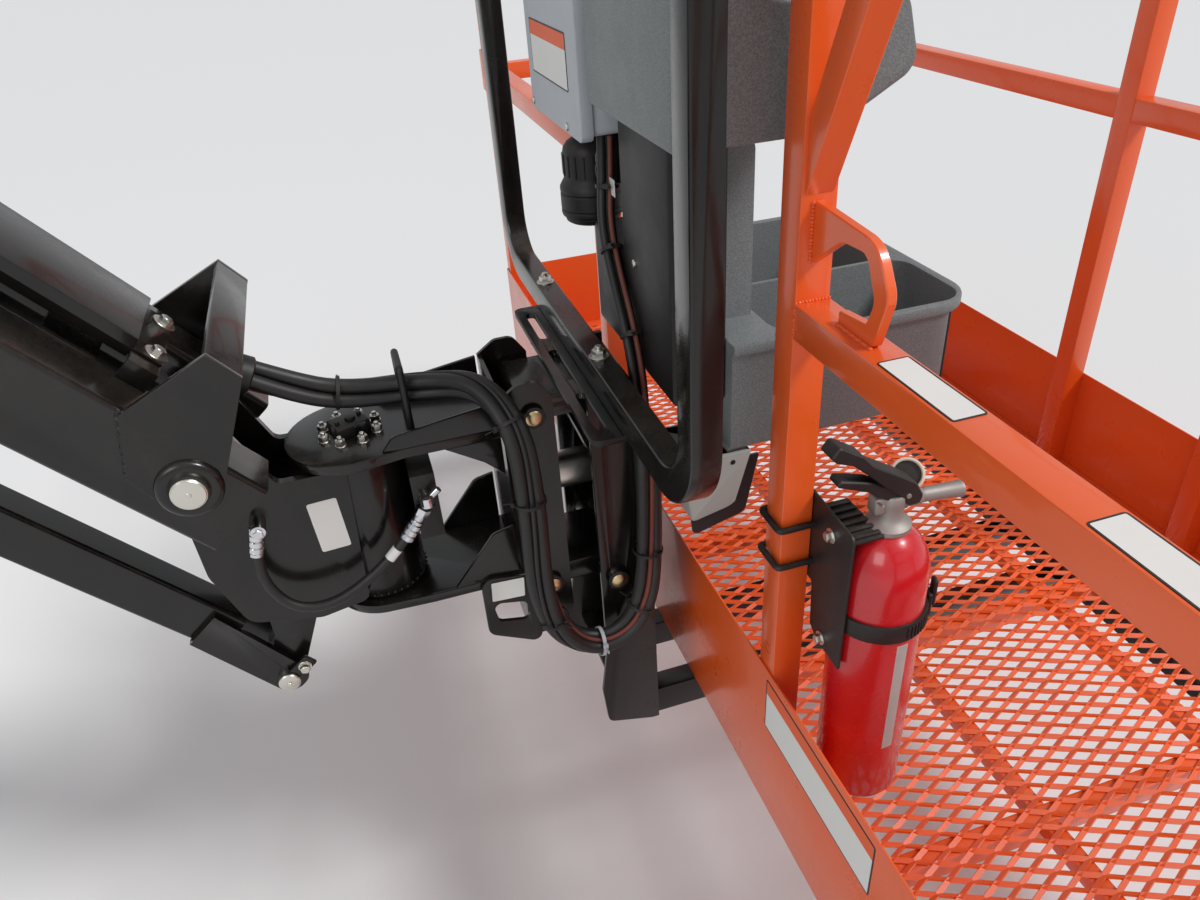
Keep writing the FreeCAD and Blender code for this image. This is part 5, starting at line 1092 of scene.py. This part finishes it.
GRIP = [(-74, 528, 3), (-70, 535, 3), (-34, 524, 10), (0, 506, 6), (10, 490, 3), (-4, 489, 3), (-36, 512, 10)]
for outline, wide in ((LEVER, 25), (GRIP, 20)):
    join(levers, cut_sheet(rounded(outline), wide, 1.6), upright @ Matrix.Translation((0, wide / 2, 0)) @ FLAT)
piece("extinguisher_levers", levers, "platform", "dark_plastic", PLATFORM, None, crease=40)
gauge = bmesh.new()
gauge_place = upright @ place_matrix((27, 15, 503), (-0.36, -0.62, 0.62))
join(gauge, turned([(15.0, -5), (18.0, -5), (18.6, -4), (18.6, 4.5), (17.6, 5.6), (16.0, 5.6), (15.0, 4.5), (15.0, -5)], 44), gauge_place)
piece("gauge_ring", gauge, "platform", "light_grey", PLATFORM, [FINISHES["cream_plastic"]], crease=40)
face = bmesh.new()
join(face, turned([(0, -4.5), (15.4, -4.5), (15.4, 1.8), (0, 1.8)], 44), gauge_place)
piece("gauge_face", face, "platform", "dark_plastic", PLATFORM)
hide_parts("extinguisher_valve")

# %% Extinguisher plate, strap and U-bolts
plate_form = bmesh.new()
PLATE = [(-300, 350, 3), (-300, 476, 4), (-431, 467, 9), (-427, 270, 2), (-374, 273, 4), (-358, 286, 4), (-355, 350, 5)]
UPRIGHT = Matrix(((0, 0, 1, 0), (1, 0, 0, 0), (0, 1, 0, 0), (0, 0, 0, 1)))
join(plate_form, cut_sheet(rounded(PLATE), 3.4, 0.8), Matrix.Translation((38.4, 0, 0)) @ UPRIGHT)
join(plate_form, slab((41.6, -428, 455), (78, -352, 459), 1.2), None)
for number in range(6):
    join(plate_form, slab((42, -424 + 12 * number, 459), (76, -418 + 12 * number, 462.5), 1.2), None)
join(plate_form, slab((41.6, -424, 280), (44.6, -384, 446), 1.4), None)
bracket = piece("extinguisher_plate", plate_form, "platform", "dark_metal", PLATFORM)
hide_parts("extinguisher_bracket")
strap = bmesh.new()
join(strap, turned([(52.3, 326), (55.2, 326), (55.8, 327.5), (55.8, 348.5), (55.2, 350), (52.3, 350), (52.3, 326)], 64), upright)
for number in range(9):
    join(strap, slab((55.0, -1.2, 329), (57.2, 1.2, 347), 0.6, 1), upright @ Matrix.Rotation(math.radians(-84 + 5.4 * number), 4, "Z"))
clasp = upright @ Matrix.Rotation(math.radians(-17), 4, "Z")
join(strap, slab((55, -9, 322), (61, 9, 354), 2.0, 3), clasp)
join(strap, slab((60, -6, 334), (66, 6, 372), 2.6, 3), clasp)
piece("extinguisher_strap", strap, "platform", "dark_plastic", PLATFORM)
fixings = bmesh.new()
for y, z in ((-388, 442), (-386, 285)):
    bolt(fixings, (38.3, y, z), (-1, 0, 0), across=11, head=6, washer=9.0, spin=9)
piece("extinguisher_bolts", fixings, "platform", "zinc", PLATFORM)
ubolts = []
for number, z in enumerate((432, 378)):
    loop = [at(x, y, z) for x, y in ((52, -351), (20, -351), (2, -351), (-5, -350), (-5, -338), (-5, -316), (-5, -304),
                                     (2, -303), (20, -303), (52, -303))]
    ubolts.append(hose("u_bolt_%d" % (number + 1), loop, 0.0040, "platform", "dark_metal"))
nuts = bmesh.new()
for z in (432, 378):
    for y in (-351, -303):
        join(nuts, stud(7.6, 0, 6, 6, 0.8, 1), place_matrix((42, y, z), (1, 0, 0)))
piece("u_bolt_nuts", nuts, "platform", "zinc", PLATFORM)

# %% [markdown]
# The console sits above the tray, behind the guard. Two joysticks stand in bellows, which are the
# ripple of one lathe profile. Beside them are a row of toggles and a mushroom button, which this
# cell does not make. Its panel is a plain plate, because its words are left off.

# %% Console controls
boots = bmesh.new()
for y in (-220, -100):
    ripple = [(0, 968)] + [(27 - 2.6 * (step // 2) + (2.4 if step % 2 else 0), 970 + 3.4 * step) for step in range(10)]
    ripple += [(9, 1004), (8, 1022), (12, 1030), (16, 1042), (17, 1054), (13, 1063), (0, 1066)]
    join(boots, turned(ripple, 36), Matrix.Translation((60, y, 0)))
piece("joystick_bellows", boots, "platform", "hose_rubber", PLATFORM)
